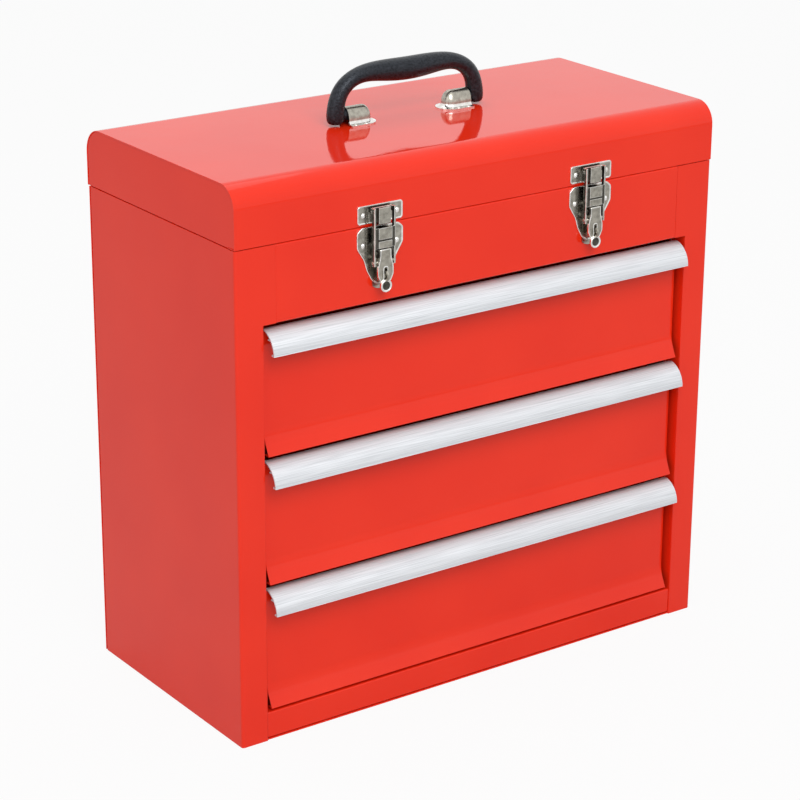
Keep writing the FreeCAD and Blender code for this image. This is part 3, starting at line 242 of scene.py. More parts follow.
def round_edges(shape, edges, size, steps, finish=-1):
    """Rounds some edges. The new faces keep their neighbours' finish unless they get their own."""
    bmesh.ops.bevel(shape, geom=edges, affect="EDGES", offset=size, offset_type="OFFSET",
                    segments=steps, profile=0.5, material=finish, clamp_overlap=True)


def round_corners(shape, size, steps=ROUNDING_STEPS, chosen=lambda edge: True):
    """Rounds the sharp edges of a shape, as deburring, bending and paint leave them."""
    round_edges(shape, [edge for edge in shape.edges if len(edge.link_faces) == 2
                        and edge.calc_face_angle() > CORNER_ANGLE and chosen(edge)], size, steps)


def place_piece(shape, name, body, finishes, stands_for):
    """Makes a finished piece of a bmesh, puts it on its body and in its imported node's stead."""
    mesh = bpy.data.meshes.new(name)
    shape.to_mesh(mesh)
    shape.free()
    mesh.shade_smooth()
    mesh.set_sharp_from_angle(angle=SMOOTH_ANGLE)
    for finish in finishes:
        mesh.materials.append(finish)
    piece = bpy.data.objects.new(name, mesh)
    bpy.context.scene.collection.objects.link(piece)
    even = piece.modifiers.new("flat_faces_stay_flat", "WEIGHTED_NORMAL")
    even.keep_sharp = True
    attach(piece, body)
    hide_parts(*stands_for)
    return piece


def rounded_piece(node, body, finish, size):
    """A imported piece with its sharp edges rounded."""
    shape = merged_copy(node)
    round_corners(shape, size)
    place_piece(shape, node + "_shell", body, [finish], [node])


def runs_level_at(height):
    """Picks the level edges at one height that lie at the box's outer faces."""
    def chosen(edge):
        """Whether this edge is one of them."""
        return all(abs(vert.co.z - height) < LEVEL_SLACK
                   and (abs(vert.co.x) > OUTER_REACH or vert.co.y < -FRONT_PLANE)
                   for vert in edge.verts)
    return chosen


def upright_at_front(edge):
    """Whether an edge stands upright in the plane of the cabinet's front."""
    first, second = (vert.co for vert in edge.verts)
    return max(first.y, second.y) < -FRONT_PLANE and abs(first.z - second.z) > UPRIGHT_LEAST


for panel in ("back_panel", "base_plate", "front_fascia", "bottom_rail", "compartment_floor"):
    rounded_piece(panel, "cabinet", baked_enamel, SHEET_EDGE)

# The side panels are folded round at the front, and their top edges are rolled over a little,
# which shows as a line under the lid.
for panel in ("side_panel_left", "side_panel_right"):
    shape = merged_copy(panel)
    round_corners(shape, FRONT_BEND, FRONT_BEND_STEPS, upright_at_front)
    round_corners(shape, ROLLED_EDGE, ROUNDING_STEPS, runs_level_at(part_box(panel)[1].z))
    round_corners(shape, SHEET_EDGE)
    place_piece(shape, panel + "_shell", "cabinet", [baked_enamel], [panel])


# Slides. Channels rolled from zinc plated strip, riveted to four upright posts in the cabinet:
# a fixed rail, a carriage that runs out half as far, and the runner on the drawer.
SLIDE_EDGE = 0.25 * MM
ZINC_LIGHT, ZINC_DARK = "#B9BDC2", "#A4A8AD"
ZINC_SMOOTH, ZINC_DULL = 0.272, 0.384
ZINC_GRAIN, ZINC_GRAIN_DEPTH = 3.0 * MM, 0.010 * MM


def mottled_finish(name, pitch, colours, roughnesses, depth=None, detail=2.0, along=None,
                   noise_range=(NOISE_LOW, NOISE_HIGH), metallic=1.0):
    """A finish that wanders between two colours and two roughnesses, in patches pitch wide."""
    material, tree, shader, coords = new_finish(name)
    if along is not None:
        coords = add_node(tree, "Mapping", {"Vector": coords, "Scale": along}).outputs["Vector"]
    noise = add_node(tree, "TexNoise", {"Vector": coords, "Scale": 1 / pitch, "Detail": detail})
    patches = add_node(tree, "MapRange", {"Value": noise.outputs["Fac"],
                                          "From Min": noise_range[0],
                                          "From Max": noise_range[1]}).outputs["Result"]
    colour = add_node(tree, "Mix", {"Factor": patches, "A": from_hex(colours[0]),
                                    "B": from_hex(colours[1])}, data_type="RGBA")
    rough = add_node(tree, "MapRange", {"Value": patches, "To Min": roughnesses[0],
                                        "To Max": roughnesses[1]})
    tree.links.new(colour.outputs["Result"], shader.inputs["Base Color"])
    tree.links.new(rough.outputs["Result"], shader.inputs["Roughness"])
    if depth is not None:
        relief = add_node(tree, "Bump", {"Height": patches, "Distance": depth})
        tree.links.new(relief.outputs["Normal"], shader.inputs["Normal"])
    shader.inputs["Metallic"].default_value = metallic
    return material


# Bright zinc plate: a bluish grey metal, evenly dull, with faint spangles.
bright_zinc = mottled_finish("bright_zinc_plate", ZINC_GRAIN, (ZINC_LIGHT, ZINC_DARK),
                             (ZINC_SMOOTH, ZINC_DULL), ZINC_GRAIN_DEPTH, FINE_DETAIL)

for side in ("left", "right"):
    for end in ("front", "rear"):
        rounded_piece(f"slide_post_{end}_{side}", "cabinet", bright_zinc, SLIDE_EDGE)
for number in (1, 2, 3):
    rounded_piece(f"slide_rails_{number}", "cabinet", bright_zinc, SLIDE_EDGE)
    rounded_piece(f"slide_runners_{number}", f"drawer_{number}", bright_zinc,
                  SLIDE_EDGE)
    for side in ("left", "right"):
        carriage = f"slide_carriage_{side}_{number}"
        rounded_piece(carriage, carriage, bright_zinc, SLIDE_EDGE)


# Drawers. A folded steel pan, and a front of the same sheet whose lowest 15 mm flares forward so
# that it hides the gap above the next pull. Both are painted with the cabinet.
FLARE_BEND, FLARE_BEND_STEPS, FLARE_TURN, FLARE_RUN = 7.0 * MM, 8, radians(15), 200 * MM

for number in (1, 2, 3):
    rounded_piece(f"drawer_pan_{number}", f"drawer_{number}", baked_enamel, SHEET_EDGE)
    node = f"drawer_front_{number}"
    front = merged_copy(node)
    bend = [edge for edge in front.edges
            if len(edge.link_faces) == 2 and FLARE_TURN < edge.calc_face_angle() < CORNER_ANGLE
            and abs(edge.verts[0].co.x - edge.verts[1].co.x) > FLARE_RUN]
    round_edges(front, bend, FLARE_BEND, FLARE_BEND_STEPS)
    round_corners(front, SHEET_EDGE)
    place_piece(front, node + "_shell", f"drawer_{number}", [baked_enamel], [node])


# Pulls. Lengths of an aluminium extrusion that hook over the drawer fronts: a curved blade with
# fine flutes along it, a lip at its foot, a fin inside and a leg behind the front.

# The blade is an arc, from a point before and above its axis to one level with it.
PULL_AXIS_Y, PULL_AXIS_BELOW, PULL_ARC = -109.0 * MM, 20.125 * MM, 21.0 * MM
PULL_ARC_FIRST_OUT, PULL_ARC_LAST_UP, ARC_FIT = 6.0 * MM, 0.125 * MM, 0.08 * MM
PULL_ARC_START = atan2(PULL_AXIS_BELOW, PULL_ARC_FIRST_OUT)
PULL_ARC_TURN = PULL_ARC_START - atan2(PULL_ARC_LAST_UP, PULL_ARC)
PULL_LEG_FRONT, PULL_LEG_DROP, PULL_SHEET = -114.0 * MM, 3.0 * MM, 1.5 * MM
FLUTE_CUTS, FLUTE_DEPTH, PULL_EDGE, PULL_EDGE_STEPS = 3, 0.32 * MM, 0.15 * MM, 2
ALUMINIUM_LIGHT, ALUMINIUM_DARK = "#E2E4E7", "#D0D2D5"
ALUMINIUM_SMOOTH, ALUMINIUM_DULL = 0.595, 0.84
DIE_LINE, DIE_STRETCH, DIE_DEPTH = 0.5 * MM, 0.01, 0.006 * MM

# Anodised aluminium extrusion: a pale, slightly blue satin metal with die lines along its length,
# drawn coarser than the real ones, which are too fine to show.
satin_aluminium = mottled_finish("satin_anodised_aluminium", DIE_LINE,
                                 (ALUMINIUM_LIGHT, ALUMINIUM_DARK),
                                 (ALUMINIUM_SMOOTH, ALUMINIUM_DULL), DIE_DEPTH, FINE_DETAIL,
                                 along=(DIE_STRETCH, 1, 1))

for number in (1, 2, 3):
    node = f"drawer_pull_{number}"
    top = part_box(node)[1].z
    axis = Vector((0, PULL_AXIS_Y, top - PULL_AXIS_BELOW))
    pull = merged_copy(node)

    # The leg lies behind the front's top edge, where it doesn't show.
    for vert in pull.verts:
        if vert.co.y > PULL_LEG_FRONT and vert.co.z < top - PULL_LEG_DROP:
            vert.co.z = top - PULL_SHEET
    make_whole(pull)

    # The flutes: each facet of the blade's outer face is cut in four, and every second cut sunk.
    across_ends = [edge for edge in pull.edges
                   if abs(edge.verts[0].co.x - edge.verts[1].co.x) < MERGE_DISTANCE
                   and all(abs((vert.co - axis).yz.length - PULL_ARC) < ARC_FIT
                           for vert in edge.verts)]
    facet_turn = PULL_ARC_TURN / (len(across_ends) / 2)
    bmesh.ops.subdivide_edges(pull, edges=across_ends, cuts=FLUTE_CUTS, use_grid_fill=True)
    sunk = []
    for vert in pull.verts:
        spoke = (vert.co - axis).yz
        if abs(spoke.length - PULL_ARC) < ARC_FIT:
            turned = (PULL_ARC_START - atan2(spoke.y, -spoke.x)) / facet_turn * (FLUTE_CUTS + 1)
            if round(turned) % 2 == 1:
                sunk.append(vert)
    shrink = (PULL_ARC - FLUTE_DEPTH) / PULL_ARC
    bmesh.ops.scale(pull, vec=(1, shrink, shrink), verts=sunk, space=Matrix.Translation(-axis))
    round_corners(pull, PULL_EDGE, PULL_EDGE_STEPS, lambda edge: all(
        abs((vert.co - axis).yz.length - PULL_ARC) > 2 * FLUTE_DEPTH for vert in edge.verts))
    place_piece(pull, node + "_fluted", f"drawer_{number}", [satin_aluminium], [node])


# Lid. One sheet wrapped over the top, with a wide round along the front and the back, and an end
# plate pressed into each side and welded.
LID_END_EDGE, LID_END_FACE = 0.9 * MM, 254.4 * MM

wrap = merged_copy("lid_wrap")
round_corners(wrap, ROLLED_EDGE, ROUNDING_STEPS, runs_level_at(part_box("lid_wrap")[0].z))
round_corners(wrap, SHEET_EDGE)
place_piece(wrap, "lid_wrap_shell", "lid", [baked_enamel], ["lid_wrap"])
for end in ("lid_end_left", "lid_end_right"):
    shape = merged_copy(end)
    round_corners(shape, LID_END_EDGE, ROUNDING_STEPS, lambda edge: all(
        abs(vert.co.x) > LID_END_FACE for vert in edge.verts))
    place_piece(shape, end + "_shell", "lid", [baked_enamel], [end])


# Hinge and lid stays. A piano hinge of zinc plated strip along the back, and at each side a
# slotted flat bar between a stud on the cabinet and a pivot on the lid.
HINGE_EDGE = 0.2 * MM

for node, body in (("hinge_leaf_body", "cabinet"), ("hinge_leaf_lid", "lid"),
                   ("hinge_pin", "cabinet"), ("body_stay_studs", "cabinet"),
                   ("lid_stay_pivots", "lid"), ("lid_stay_left", "lid_stay_left"),
                   ("lid_stay_right", "lid_stay_right")):
    rounded_piece(node, body, bright_zinc, HINGE_EDGE)


# Latches. Draw latches pressed from nickel plated steel: a shaped plate on the cabinet with a
# lever on a pin, a bail hung from the lever, and a hooked keeper on the lid.
LATCH_EDGE, LATCH_EDGE_STEPS = 0.25 * MM, 2
BUFF_PITCH, BUFF_DEPTH = 4.0 * MM, 0.012 * MM
NICKEL_LIGHT, NICKEL_DARK = "#BFBBAF", "#98948A"
NICKEL_SMOOTH, NICKEL_SOFT = 0.208, 0.338
# Colours and roughness of the darkened nickel, which is painted shade.
NICKEL_SHADE_LIGHT, NICKEL_SHADE_DARK = "#625F58", "#403E39"
SHADE_SMOOTH, SHADE_DULL = 0.28, 0.42
# Colours and roughness of the near-white nickel, whose colour is a painted highlight.
NICKEL_HIGHLIGHT_LIGHT, NICKEL_HIGHLIGHT_DARK = "#FAFAF7", "#DEDCD5"
MIRROR_SMOOTH, MIRROR_SOFT = 0.14, 0.28

# Half widths and heights in millimetres. The base plate's outline goes from its top to its tip,
# the keeper's from its top to its foot, and the lever's down its side and back up its slot.
BASE_OUTLINE = ((18.5, 447.2), (23.4, 443.0), (23.4, 429.6), (16.4, 418.6), (13.4, 409.0),
                (8.6, 400.5), (4.0, 396.6))
KEEPER_OUTLINE = ((22.9, 466.0), (22.9, 450.0))
LEVER_OUTLINE = ((5.6, 428.3), (5.7, 421.0), (7.9, 412.5), (7.9, 406.0), (5.0, 400.0),
                 (1.6, 400.0), (1.6, 412.5))

# Both plates. A corner is rounder than its rim and rise are wide, so that the panel stays whole.
PLATE_FRONT, PLATE_SHEET, PLATE_RIM, PLATE_RIM_RISE = -121.5 * MM, 1.5 * MM, 0.6 * MM, 0.45 * MM
BASE_CORNER, KEEPER_CORNER, CORNER_STEPS, RIM_STEPS = 1.6 * MM, 2.6 * MM, 4, 3
CHANNEL_HALF, CHANNEL_DEPTH = 7.9 * MM, 0.35 * MM
BASE_CHANNEL_LOW, KEEPER_CHANNEL_LOW = 420.5 * MM, 440.2 * MM
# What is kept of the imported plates: their lugs, staple and hook, in front of this cut.
LUG_CUT, LUG_REACH = -120.7 * MM, 7.6 * MM
HOOK_HALF, HOOK_FRONT, HOOK_WALL = 5.9 * MM, -128.4 * MM, 0.9 * MM
HOOK_LOW, HOOK_HIGH = 450.2 * MM, 464.0 * MM

# The bail's rails, its top bar, and the bridge with its two raised bands.
RAIL_INNER, RAIL_OUTER, RAIL_BACK, RAIL_EDGE = 9.2 * MM, 11.0 * MM, -124.8 * MM, 0.5 * MM
BAR_DEPTH, BAR_HEIGHT, RAIL_TOP_HEIGHT = 2.0 * MM, 2.5 * MM, 5.0 * MM
BRIDGE_REACH, BRIDGE_BACK, BRIDGE_SHEET = 10.0 * MM, -127.8 * MM, 1.0 * MM
BAND_HALF, BAND_FRONT, BAND_EDGE = 6.9 * MM, -129.4 * MM, 0.4 * MM
BRIDGE_BANDS = ((436.9 * MM, 447.0 * MM), (429.3 * MM, 435.4 * MM))

# The lever's cover and its thumb tab.
LEVER_FRONT, LEVER_SHEET, LEVER_CORNER = -130.0 * MM, 1.9 * MM, 1.15 * MM
LEVER_RIM, LEVER_RIM_RISE, LEVER_NECK = 0.4 * MM, 0.3 * MM, 400.5 * MM
TAB_CENTRE, TAB_FRONT, TAB_RADIUS, TAB_SHEET = 396.6 * MM, -131.4 * MM, 5.6 * MM, 2.2 * MM
TAB_SIDES, TAB_DISH = 24, 0.7 * MM

# Nickel plate over pressed steel: a warm grey mirror, slightly soft, with shallow ripples.
nickel_plate = mottled_finish("bright_nickel_plate", BUFF_PITCH, (NICKEL_LIGHT, NICKEL_DARK),
                              (NICKEL_SMOOTH, NICKEL_SOFT), BUFF_DEPTH)
# The same plate, smoother, on rims, edges, rivets and strap flanges; its near-white colour is
# painted highlight.
nickel_painted_highlight = mottled_finish("nickel_plate_painted_highlight", BUFF_PITCH,
                                 (NICKEL_HIGHLIGHT_LIGHT, NICKEL_HIGHLIGHT_DARK), (MIRROR_SMOOTH, MIRROR_SOFT))
# The same plate darkened as painted shade and made rougher, on recesses and sides.
nickel_painted_shade = mottled_finish("nickel_plate_painted_shade", BUFF_PITCH,
                             (NICKEL_SHADE_LIGHT, NICKEL_SHADE_DARK), (SHADE_SMOOTH, SHADE_DULL),
                             detail=FINE_DETAIL)
# Three latch finishes (plain, painted shade, painted highlight), and the numbers faces know them
# by.
LATCH_FINISHES = (nickel_plate, nickel_painted_shade, nickel_painted_highlight)
BUFFED, PAINTED_SHADE, PAINTED_HIGHLIGHT = 0, 1, 2
# A face looks along an axis when this much of its normal does.
FACING = 0.9


def both_halves(centre, half):
    """A whole outline in metres from its half widths and heights in millimetres."""
    return ([(centre - x * MM, z * MM) for x, z in half]
            + [(centre + x * MM, z * MM) for x, z in reversed(half)])


def pressed_plate(outline, front, thickness, corner, rim, rim_rise):
    """A plate in the XZ plane: rounded corners, a rolled rim in painted highlight and a flat panel
    in it.
    """
    shape = bmesh.new()
    shape.faces.new([shape.verts.new((x, front, z)) for x, z in outline])
    bmesh.ops.bevel(shape, geom=shape.verts[:], affect="VERTICES", offset=corner,
                    segments=CORNER_STEPS, profile=0.5, material=-1, clamp_overlap=True)
    bmesh.ops.recalc_face_normals(shape, faces=shape.faces)
    face = shape.faces[:][0]
    if face.normal.y > 0:
        bmesh.ops.reverse_faces(shape, faces=[face])
    back = bmesh.ops.extrude_face_region(shape, geom=[face])
    moved = [item for item in back["geom"] if isinstance(item, bmesh.types.BMVert)]
    bmesh.ops.translate(shape, vec=(0, thickness, 0), verts=moved)
    bmesh.ops.recalc_face_normals(shape, faces=shape.faces)
    # The plate's edges and its rim get the painted highlight, its faces the plain plate.
    for face in shape.faces:
        face.material_index = BUFFED if abs(face.normal.y) > FACING else PAINTED_HIGHLIGHT
    panel = min(shape.faces, key=lambda face: face.calc_center_median().y)
    round_edges(shape, panel.edges[:], rim_rise, RIM_STEPS, PAINTED_HIGHLIGHT)
    panel = max(shape.faces, key=lambda face: -face.normal.y * face.calc_area())
    for width, depth in ((rim, 0), (rim_rise, -rim_rise)):
        ring = bmesh.ops.inset_region(shape, faces=[panel], thickness=width, depth=depth,
                                      use_even_offset=True)
        for face in ring["faces"]:
            face.material_index = PAINTED_HIGHLIGHT
    return shape, panel


def cut_faces(shape, faces, point, direction):
    """Cuts some faces of a shape along a plane, and gives the faces that they become."""
    whole = [*faces, *(edge for face in faces for edge in face.edges),
             *(vert for face in faces for vert in face.verts)]
    cut = bmesh.ops.bisect_plane(shape, geom=list(dict.fromkeys(whole)), dist=MERGE_DISTANCE,
                                 plane_co=point, plane_no=direction)
    return [item for item in cut["geom"] if isinstance(item, bmesh.types.BMFace)]


def sink_channel(shape, panel, centre, lowest):
    """Presses back the part of a panel that lies behind the moving pieces, and darkens it as
    painted shade.
    """
    faces = [panel]
    for side in (centre - CHANNEL_HALF, centre + CHANNEL_HALF):
        faces = cut_faces(shape, faces, (side, 0, 0), (1, 0, 0))
    faces = [face for face in faces
             if abs(face.calc_center_median().x - centre) < CHANNEL_HALF]
    faces = [face for face in cut_faces(shape, faces, (0, 0, lowest), (0, 0, 1))
             if face.calc_center_median().z > lowest]
    bmesh.ops.inset_individual(shape, faces=faces, thickness=CHANNEL_DEPTH, depth=-CHANNEL_DEPTH,
                               use_even_offset=True)
    # The sunk faces get painted shade.
    for face in faces:
        face.material_index = PAINTED_SHADE


def cut_away(shape, point, direction):
    """Cuts off what lies beyond a plane, and closes the cut."""
    bmesh.ops.bisect_plane(shape, geom=shape.verts[:] + shape.edges[:] + shape.faces[:],
                           dist=MERGE_DISTANCE, plane_co=point, plane_no=direction,
                           clear_outer=True)
    bmesh.ops.holes_fill(shape, edges=[edge for edge in shape.edges if edge.is_boundary], sides=0)


def take_in(shape, part):
    """Adds one finished shape to another."""
    mesh = bpy.data.meshes.new("part")
    part.to_mesh(mesh)
    part.free()
    shape.from_mesh(mesh)
    bpy.data.meshes.remove(mesh)


def raised_parts(node, centre, painted_shade_above):
    """The lugs, staple or hook of a packed plate: its middle, in front of its back."""
    shape = merged_copy(node)
    cut_away(shape, (0, LUG_CUT, 0), (0, 1, 0))
    for side in (-1, 1):
        cut_away(shape, (centre + side * LUG_REACH, 0, 0), (side, 0, 0))
    round_corners(shape, LATCH_EDGE, LATCH_EDGE_STEPS)
    # Above the channel's foot the lugs and hook get painted shade; below it they stay plain plate.
    cut_faces(shape, shape.faces[:], (0, 0, painted_shade_above), (0, 0, 1))
    for face in shape.faces:
        face.material_index = PAINTED_SHADE if face.calc_center_median().z > painted_shade_above else BUFFED
    return shape


def add_blank(shape, left, right, front, back, low, high, edge, all_painted_shade=False):
    """Adds a bar between two corners: edges in painted highlight, sides or all of it in painted
    shade.
    """
    size = Vector((right - left, back - front, high - low))
    middle = Vector(((left + right) / 2, (front + back) / 2, (low + high) / 2))
    made = bmesh.ops.create_cube(shape, size=1, matrix=Matrix.Translation(middle)
                                 @ Matrix.Diagonal((*size, 1)))["verts"]
    # Faces looking across get painted shade, and the rounded edges painted highlight.
    for face in {face for vert in made for face in vert.link_faces}:
        if all_painted_shade or abs(face.normal.x) > FACING:
            face.material_index = PAINTED_SHADE
    edges = dict.fromkeys(edge for vert in made for edge in vert.link_edges)
    round_edges(shape, list(edges), edge, LATCH_EDGE_STEPS, PAINTED_HIGHLIGHT)


for side in ("left", "right"):
    lever_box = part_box(f"latch_lever_{side}")
    centre = (lever_box[0].x + lever_box[1].x) / 2

    # The plate on the cabinet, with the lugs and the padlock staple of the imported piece.
    node = f"latch_base_{side}"
    base, panel = pressed_plate(both_halves(centre, BASE_OUTLINE), PLATE_FRONT, PLATE_SHEET,
                                BASE_CORNER, PLATE_RIM, PLATE_RIM_RISE)
    sink_channel(base, panel, centre, BASE_CHANNEL_LOW)
    take_in(base, raised_parts(node, centre, BASE_CHANNEL_LOW))
    place_piece(base, node + "_pressing", "cabinet", LATCH_FINISHES, [node])

    # The keeper on the lid: a plate and a hook whose lip holds the bail's bar.
    node = f"latch_keeper_{side}"
    keeper, panel = pressed_plate(both_halves(centre, KEEPER_OUTLINE), PLATE_FRONT, PLATE_SHEET,
                                  KEEPER_CORNER, PLATE_RIM, PLATE_RIM_RISE)
    sink_channel(keeper, panel, centre, KEEPER_CHANNEL_LOW)
    take_in(keeper, raised_parts(node, centre, KEEPER_CHANNEL_LOW))
    add_blank(keeper, centre - HOOK_HALF, centre + HOOK_HALF, HOOK_FRONT, HOOK_FRONT + HOOK_WALL,
              HOOK_LOW, HOOK_HIGH, LATCH_EDGE)
    place_piece(keeper, node + "_pressing", "lid", LATCH_FINISHES, [node])

    # The bail: two rails, the bar that hooks over the keeper, and a bridge with two raised bands.
    node = f"latch_bail_{side}"
    low_corner, high_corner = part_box(node)
    bail = bmesh.new()
    for across in (-1, 1):
        rail = sorted((centre + across * RAIL_INNER, centre + across * RAIL_OUTER))
        add_blank(bail, *rail, low_corner.y, RAIL_BACK, low_corner.z, high_corner.z, RAIL_EDGE)
        add_blank(bail, *rail, RAIL_BACK - RAIL_EDGE, high_corner.y,
                  high_corner.z - RAIL_TOP_HEIGHT, high_corner.z, RAIL_EDGE)
    add_blank(bail, centre - RAIL_OUTER, centre + RAIL_OUTER, high_corner.y - BAR_DEPTH,
              high_corner.y, high_corner.z - BAR_HEIGHT, high_corner.z, RAIL_EDGE)
    # The bridge behind the bands is all in painted shade.
    add_blank(bail, centre - BRIDGE_REACH, centre + BRIDGE_REACH, BRIDGE_BACK - BRIDGE_SHEET,
              BRIDGE_BACK, BRIDGE_BANDS[1][0], BRIDGE_BANDS[0][1], LATCH_EDGE, all_painted_shade=True)
    for low, high in BRIDGE_BANDS:
        add_blank(bail, centre - BAND_HALF, centre + BAND_HALF, BAND_FRONT, BRIDGE_BACK, low, high,
                  BAND_EDGE)
    place_piece(bail, node + "_pressing", node, LATCH_FINISHES, [node])

    # The lever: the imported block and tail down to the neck, under a rimmed and slotted cover that
    # ends in a dished thumb tab.
    node = f"latch_lever_{side}"
    core = merged_copy(node)
    cut_away(core, (0, 0, LEVER_NECK), (0, 0, -1))
    lever, panel = pressed_plate(both_halves(centre, LEVER_OUTLINE), LEVER_FRONT, LEVER_SHEET,
                                 LEVER_CORNER, LEVER_RIM, LEVER_RIM_RISE)
    take_in(lever, core)
    turns = [2 * pi * step / TAB_SIDES for step in range(TAB_SIDES)]
    circle = [(centre + TAB_RADIUS * cos(turn), TAB_CENTRE + TAB_RADIUS * sin(turn))
              for turn in turns]
    tab, dish = pressed_plate(circle, TAB_FRONT, TAB_SHEET, LATCH_EDGE, LEVER_RIM, TAB_DISH)
    # The tab's dish is darkened as painted shade.
    dish.material_index = PAINTED_SHADE
    take_in(lever, tab)
    place_piece(lever, node + "_pressing", node, LATCH_FINISHES, [node])
    rounded_piece(f"bail_pin_{side}", node, nickel_plate, LATCH_EDGE)

# The pins are part of the cabinet's plates, and each plate has its own rivets.
rounded_piece("lever_pins", "cabinet", nickel_plate, LATCH_EDGE)
# The rivet heads are near-white nickel, a painted highlight.
rounded_piece("latch_base_rivets", "cabinet", nickel_painted_highlight, LATCH_EDGE)
rounded_piece("latch_keeper_rivets", "lid", nickel_painted_highlight, LATCH_EDGE)


# Handle straps. Pressed from nickel plated steel: an arched tunnel with a domed inner end that
# holds the handle's barrel, and a flange all round that is riveted through the lid.
LID_TOP, STRAP_MIDDLE, STRAP_OUTER_END, STRAP_LENGTH = 500.5 * MM, 1.0 * MM, 66.0 * MM, 18.0 * MM
STRAP_HALF, STRAP_RISE, STRAP_SHEET, STRAP_JOIN = 8.0 * MM, 11.6 * MM, 1.2 * MM, 0.02 * MM
STRAP_COVE, STRAP_FLANGE, STRAP_STEPS, COVE_STEPS = 3.2 * MM, 5.0 * MM, 12, 5
STRAP_SPRING = LID_TOP + STRAP_SHEET + STRAP_COVE
STRAP_BUFFED, STRAP_PAINTED_HIGHLIGHT = 0, 1
STRAP_RIVET_RADIUS, STRAP_RIVET_RISE, STRAP_RIVET_SEAT = 1.7 * MM, 0.55, 2.1 * MM
STRAP_RIVET_PLACES, RIVET_SIDES, RIVET_RINGS = (5.0 * MM, 16.0 * MM), 20, 12

for side, sign in (("left", -1), ("right", 1)):
    # The section is half an ellipse whose sides turn outwards in a cove, down to the flange.
    strap = bmesh.new()
    first = strap.verts.new((0, STRAP_MIDDLE + STRAP_HALF, STRAP_SPRING))
    bmesh.ops.spin(strap, geom=[first], cent=(0, STRAP_MIDDLE, STRAP_SPRING), axis=(1, 0, 0),
                   angle=pi, steps=2 * STRAP_STEPS)
    bmesh.ops.scale(strap, vec=(1, 1, STRAP_RISE / STRAP_HALF), verts=strap.verts,
                    space=Matrix.Translation((0, 0, -STRAP_SPRING)))
    turns = [pi / 2 * step / COVE_STEPS for step in range(1, COVE_STEPS + 1)]
    profile = [(STRAP_COVE * (1 - cos(turn)), -STRAP_COVE * sin(turn)) for turn in turns]
    profile.append((STRAP_FLANGE, -STRAP_COVE))
    for end in sorted(strap.verts, key=lambda vert: vert.co.z)[:2]:
        outwards = 1 if end.co.y > STRAP_MIDDLE else -1
        for out, rise in profile:
            point = strap.verts.new((0, STRAP_MIDDLE + outwards * (STRAP_HALF + out),
                                     STRAP_SPRING + rise))
            strap.edges.new((end, point))
            end = point

    # It is drawn out along the barrel, then one half is swung through half a turn for the nose.
    run = bmesh.ops.extrude_edge_only(strap, edges=strap.edges[:])
    moved = [item for item in run["geom"] if isinstance(item, bmesh.types.BMVert)]
    bmesh.ops.translate(strap, vec=(-sign * STRAP_LENGTH, 0, 0), verts=moved)
    swung = {vert for vert in moved if vert.co.y <= STRAP_MIDDLE + MERGE_DISTANCE}
    rim = [edge for edge in strap.edges if all(vert in swung for vert in edge.verts)]
    rim_verts = dict.fromkeys(vert for edge in rim for vert in edge.verts)
    bmesh.ops.spin(strap, geom=[*rim_verts, *rim], cent=(-sign * STRAP_LENGTH, STRAP_MIDDLE, 0),
                   axis=(0, 0, 1), angle=-sign * pi, steps=STRAP_STEPS)
    bmesh.ops.remove_doubles(strap, verts=strap.verts, dist=STRAP_JOIN)
    bmesh.ops.recalc_face_normals(strap, faces=strap.faces)
    bmesh.ops.translate(strap, vec=(sign * STRAP_OUTER_END, 0, 0), verts=strap.verts)
    bmesh.ops.solidify(strap, geom=strap.faces[:], thickness=STRAP_SHEET)

    # The cove and the flange get the near-white nickel of a painted highlight.
    for face in strap.faces:
        low_down = face.calc_center_median().z < STRAP_SPRING
        face.material_index = STRAP_PAINTED_HIGHLIGHT if low_down else STRAP_BUFFED
    place_piece(strap, f"handle_strap_{side}_pressing", "lid", (nickel_plate, nickel_painted_highlight),
                [f"handle_strap_{side}"])

# Four small domed rivets hold each strap by its flange; their near-white nickel is a painted
# highlight.
heads = bmesh.new()
for sign in (-1, 1):
    for inset in STRAP_RIVET_PLACES:
        for across in (-1, 1):
            from_middle = STRAP_HALF + STRAP_FLANGE - STRAP_RIVET_SEAT
            seat = Vector((sign * (STRAP_OUTER_END - inset), STRAP_MIDDLE + across * from_middle,
                           LID_TOP + STRAP_SHEET))
            bmesh.ops.create_uvsphere(heads, u_segments=RIVET_SIDES, v_segments=RIVET_RINGS,
                                      radius=STRAP_RIVET_RADIUS,
                                      matrix=Matrix.Translation(seat)
                                      @ Matrix.Diagonal((1, 1, STRAP_RIVET_RISE, 1)))
place_piece(heads, "strap_rivet_heads", "lid", [nickel_painted_highlight], ["strap_rivets"])


# Handle. Moulded in one piece of black polypropylene with a fine leather-like grain: an arch that
# swells in the middle, with round feet and a barrel on each foot that turns in a strap.
GRIP_BLACK, GRIP_GREY, GRIP_SHEEN = "#08090B", "#2A2D32", "#D4DCEA"
GRIP_DULL, GRIP_SMOOTH, GRIP_IOR = 0.345, 0.255, 1.42
GRAIN_PITCH, GRAIN_DEPTH, GRAIN_RANGE = 1.7 * MM, 0.12 * MM, (0.35, 0.65)
BARREL_RADIUS, BARREL_EDGE, BARREL_EDGE_STEPS = 5.2 * MM, 0.8 * MM, 3
BARREL_INNER_END, BARREL_OUTER_END, PIVOT_HEIGHT = 50.0 * MM, 75.0 * MM, 509.6 * MM
GRIP_SIDES, BARREL_SIDES, ARCH_LEVELS = 16, 24, 2

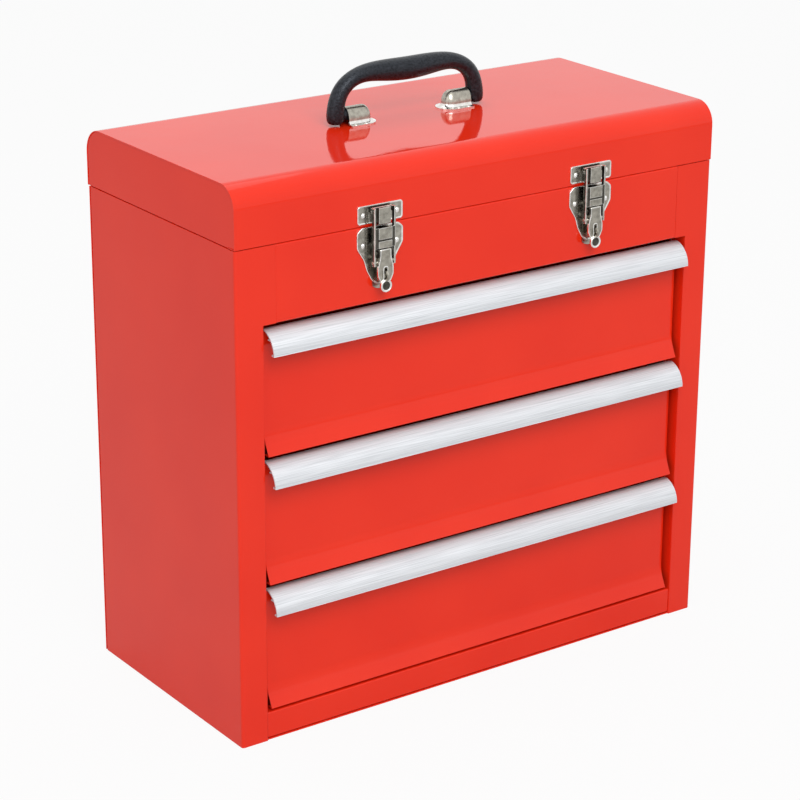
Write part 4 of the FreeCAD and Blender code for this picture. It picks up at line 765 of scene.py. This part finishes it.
# Half the arch from one foot to the middle, in millimetres: place across, height, and the half
# thickness in the arch's plane and across it.
GRIP_STATIONS = (
    (75.4, 502.2, 4.6, 4.6),
    (75.4, 503.0, 6.9, 6.7),
    (75.4, 506.0, 8.3, 7.8),
    (75.3, 511.0, 8.4, 8.0),
    (74.8, 517.0, 7.9, 7.9),
    (73.4, 523.5, 7.6, 7.8),
    (70.4, 529.8, 7.5, 7.7),
    (65.8, 535.2, 7.4, 7.6),
    (58.4, 540.2, 7.3, 7.5),
    (48.5, 543.3, 7.7, 7.9),
    (36.0, 544.2, 8.7, 8.9),
    (18.0, 543.0, 10.2, 9.9),
    (0.0, 542.2, 10.6, 10.2),
)

# Grained black polypropylene: near black, half dull, and its grain breaks up the highlights. The
# grain is drawn a little coarser than the real one, so that it shows.
grained_plastic = mottled_finish("grained_black_polypropylene", GRAIN_PITCH,
                                 (GRIP_BLACK, GRIP_GREY), (GRIP_DULL, GRIP_SMOOTH), GRAIN_DEPTH,
                                 noise_range=GRAIN_RANGE, metallic=0.0)
shader = grained_plastic.node_tree.nodes["Principled BSDF"]
shader.inputs["IOR"].default_value = GRIP_IOR
shader.inputs["Specular Tint"].default_value = from_hex(GRIP_SHEEN)

grip = bmesh.new()
half = [(Vector((x, 0, z)) * MM, a * MM, b * MM) for x, z, a, b in GRIP_STATIONS]
arch = half + [(Vector((-spot.x, 0, spot.z)), a, b) for spot, a, b in reversed(half[:-1])]
rings = []
for index, (spot, in_plane, across) in enumerate(arch):
    ahead = arch[min(index + 1, len(arch) - 1)][0] - arch[max(index - 1, 0)][0]
    lean = Matrix.Rotation(atan2(ahead.x, ahead.z), 4, "Y")
    matrix = (Matrix.Translation(spot + Vector((0, STRAP_MIDDLE, 0))) @ lean
              @ Matrix.Diagonal((in_plane, across, 1, 1)))
    ring = bmesh.ops.create_circle(grip, cap_ends=index in (0, len(arch) - 1), radius=1,
                                   segments=GRIP_SIDES, matrix=matrix)["verts"]
    rings.append([edge for edge in grip.edges if all(vert in ring for vert in edge.verts)])
for first, second in zip(rings, rings[1:]):
    bmesh.ops.bridge_loops(grip, edges=first + second)
bmesh.ops.recalc_face_normals(grip, faces=grip.faces)

for sign in (-1, 1):
    length = BARREL_OUTER_END - BARREL_INNER_END
    middle = Vector((sign * (BARREL_INNER_END + length / 2), STRAP_MIDDLE, PIVOT_HEIGHT))
    barrel = bmesh.ops.create_cone(grip, cap_ends=True, segments=BARREL_SIDES,
                                   radius1=BARREL_RADIUS, radius2=BARREL_RADIUS, depth=length,
                                   matrix=Matrix.Translation(middle)
                                   @ Matrix.Rotation(pi / 2, 4, "Y"))["verts"]
    ends = [edge for edge in grip.edges if all(vert in barrel for vert in edge.verts)
            and edge.calc_face_angle(0) > CORNER_ANGLE]
    round_edges(grip, ends, BARREL_EDGE, BARREL_EDGE_STEPS)

# The arch is smooth all over, so it is subdivided and has no flat faces to keep.
moulded = place_piece(grip, "handle_grip_moulding", "handle", [grained_plastic],
                      ["handle_grip"])
moulded.data.shade_smooth()
moulded.modifiers.remove(moulded.modifiers[0])
smooth = moulded.modifiers.new("rounded_arch", "SUBSURF")
smooth.levels = smooth.render_levels = ARCH_LEVELS
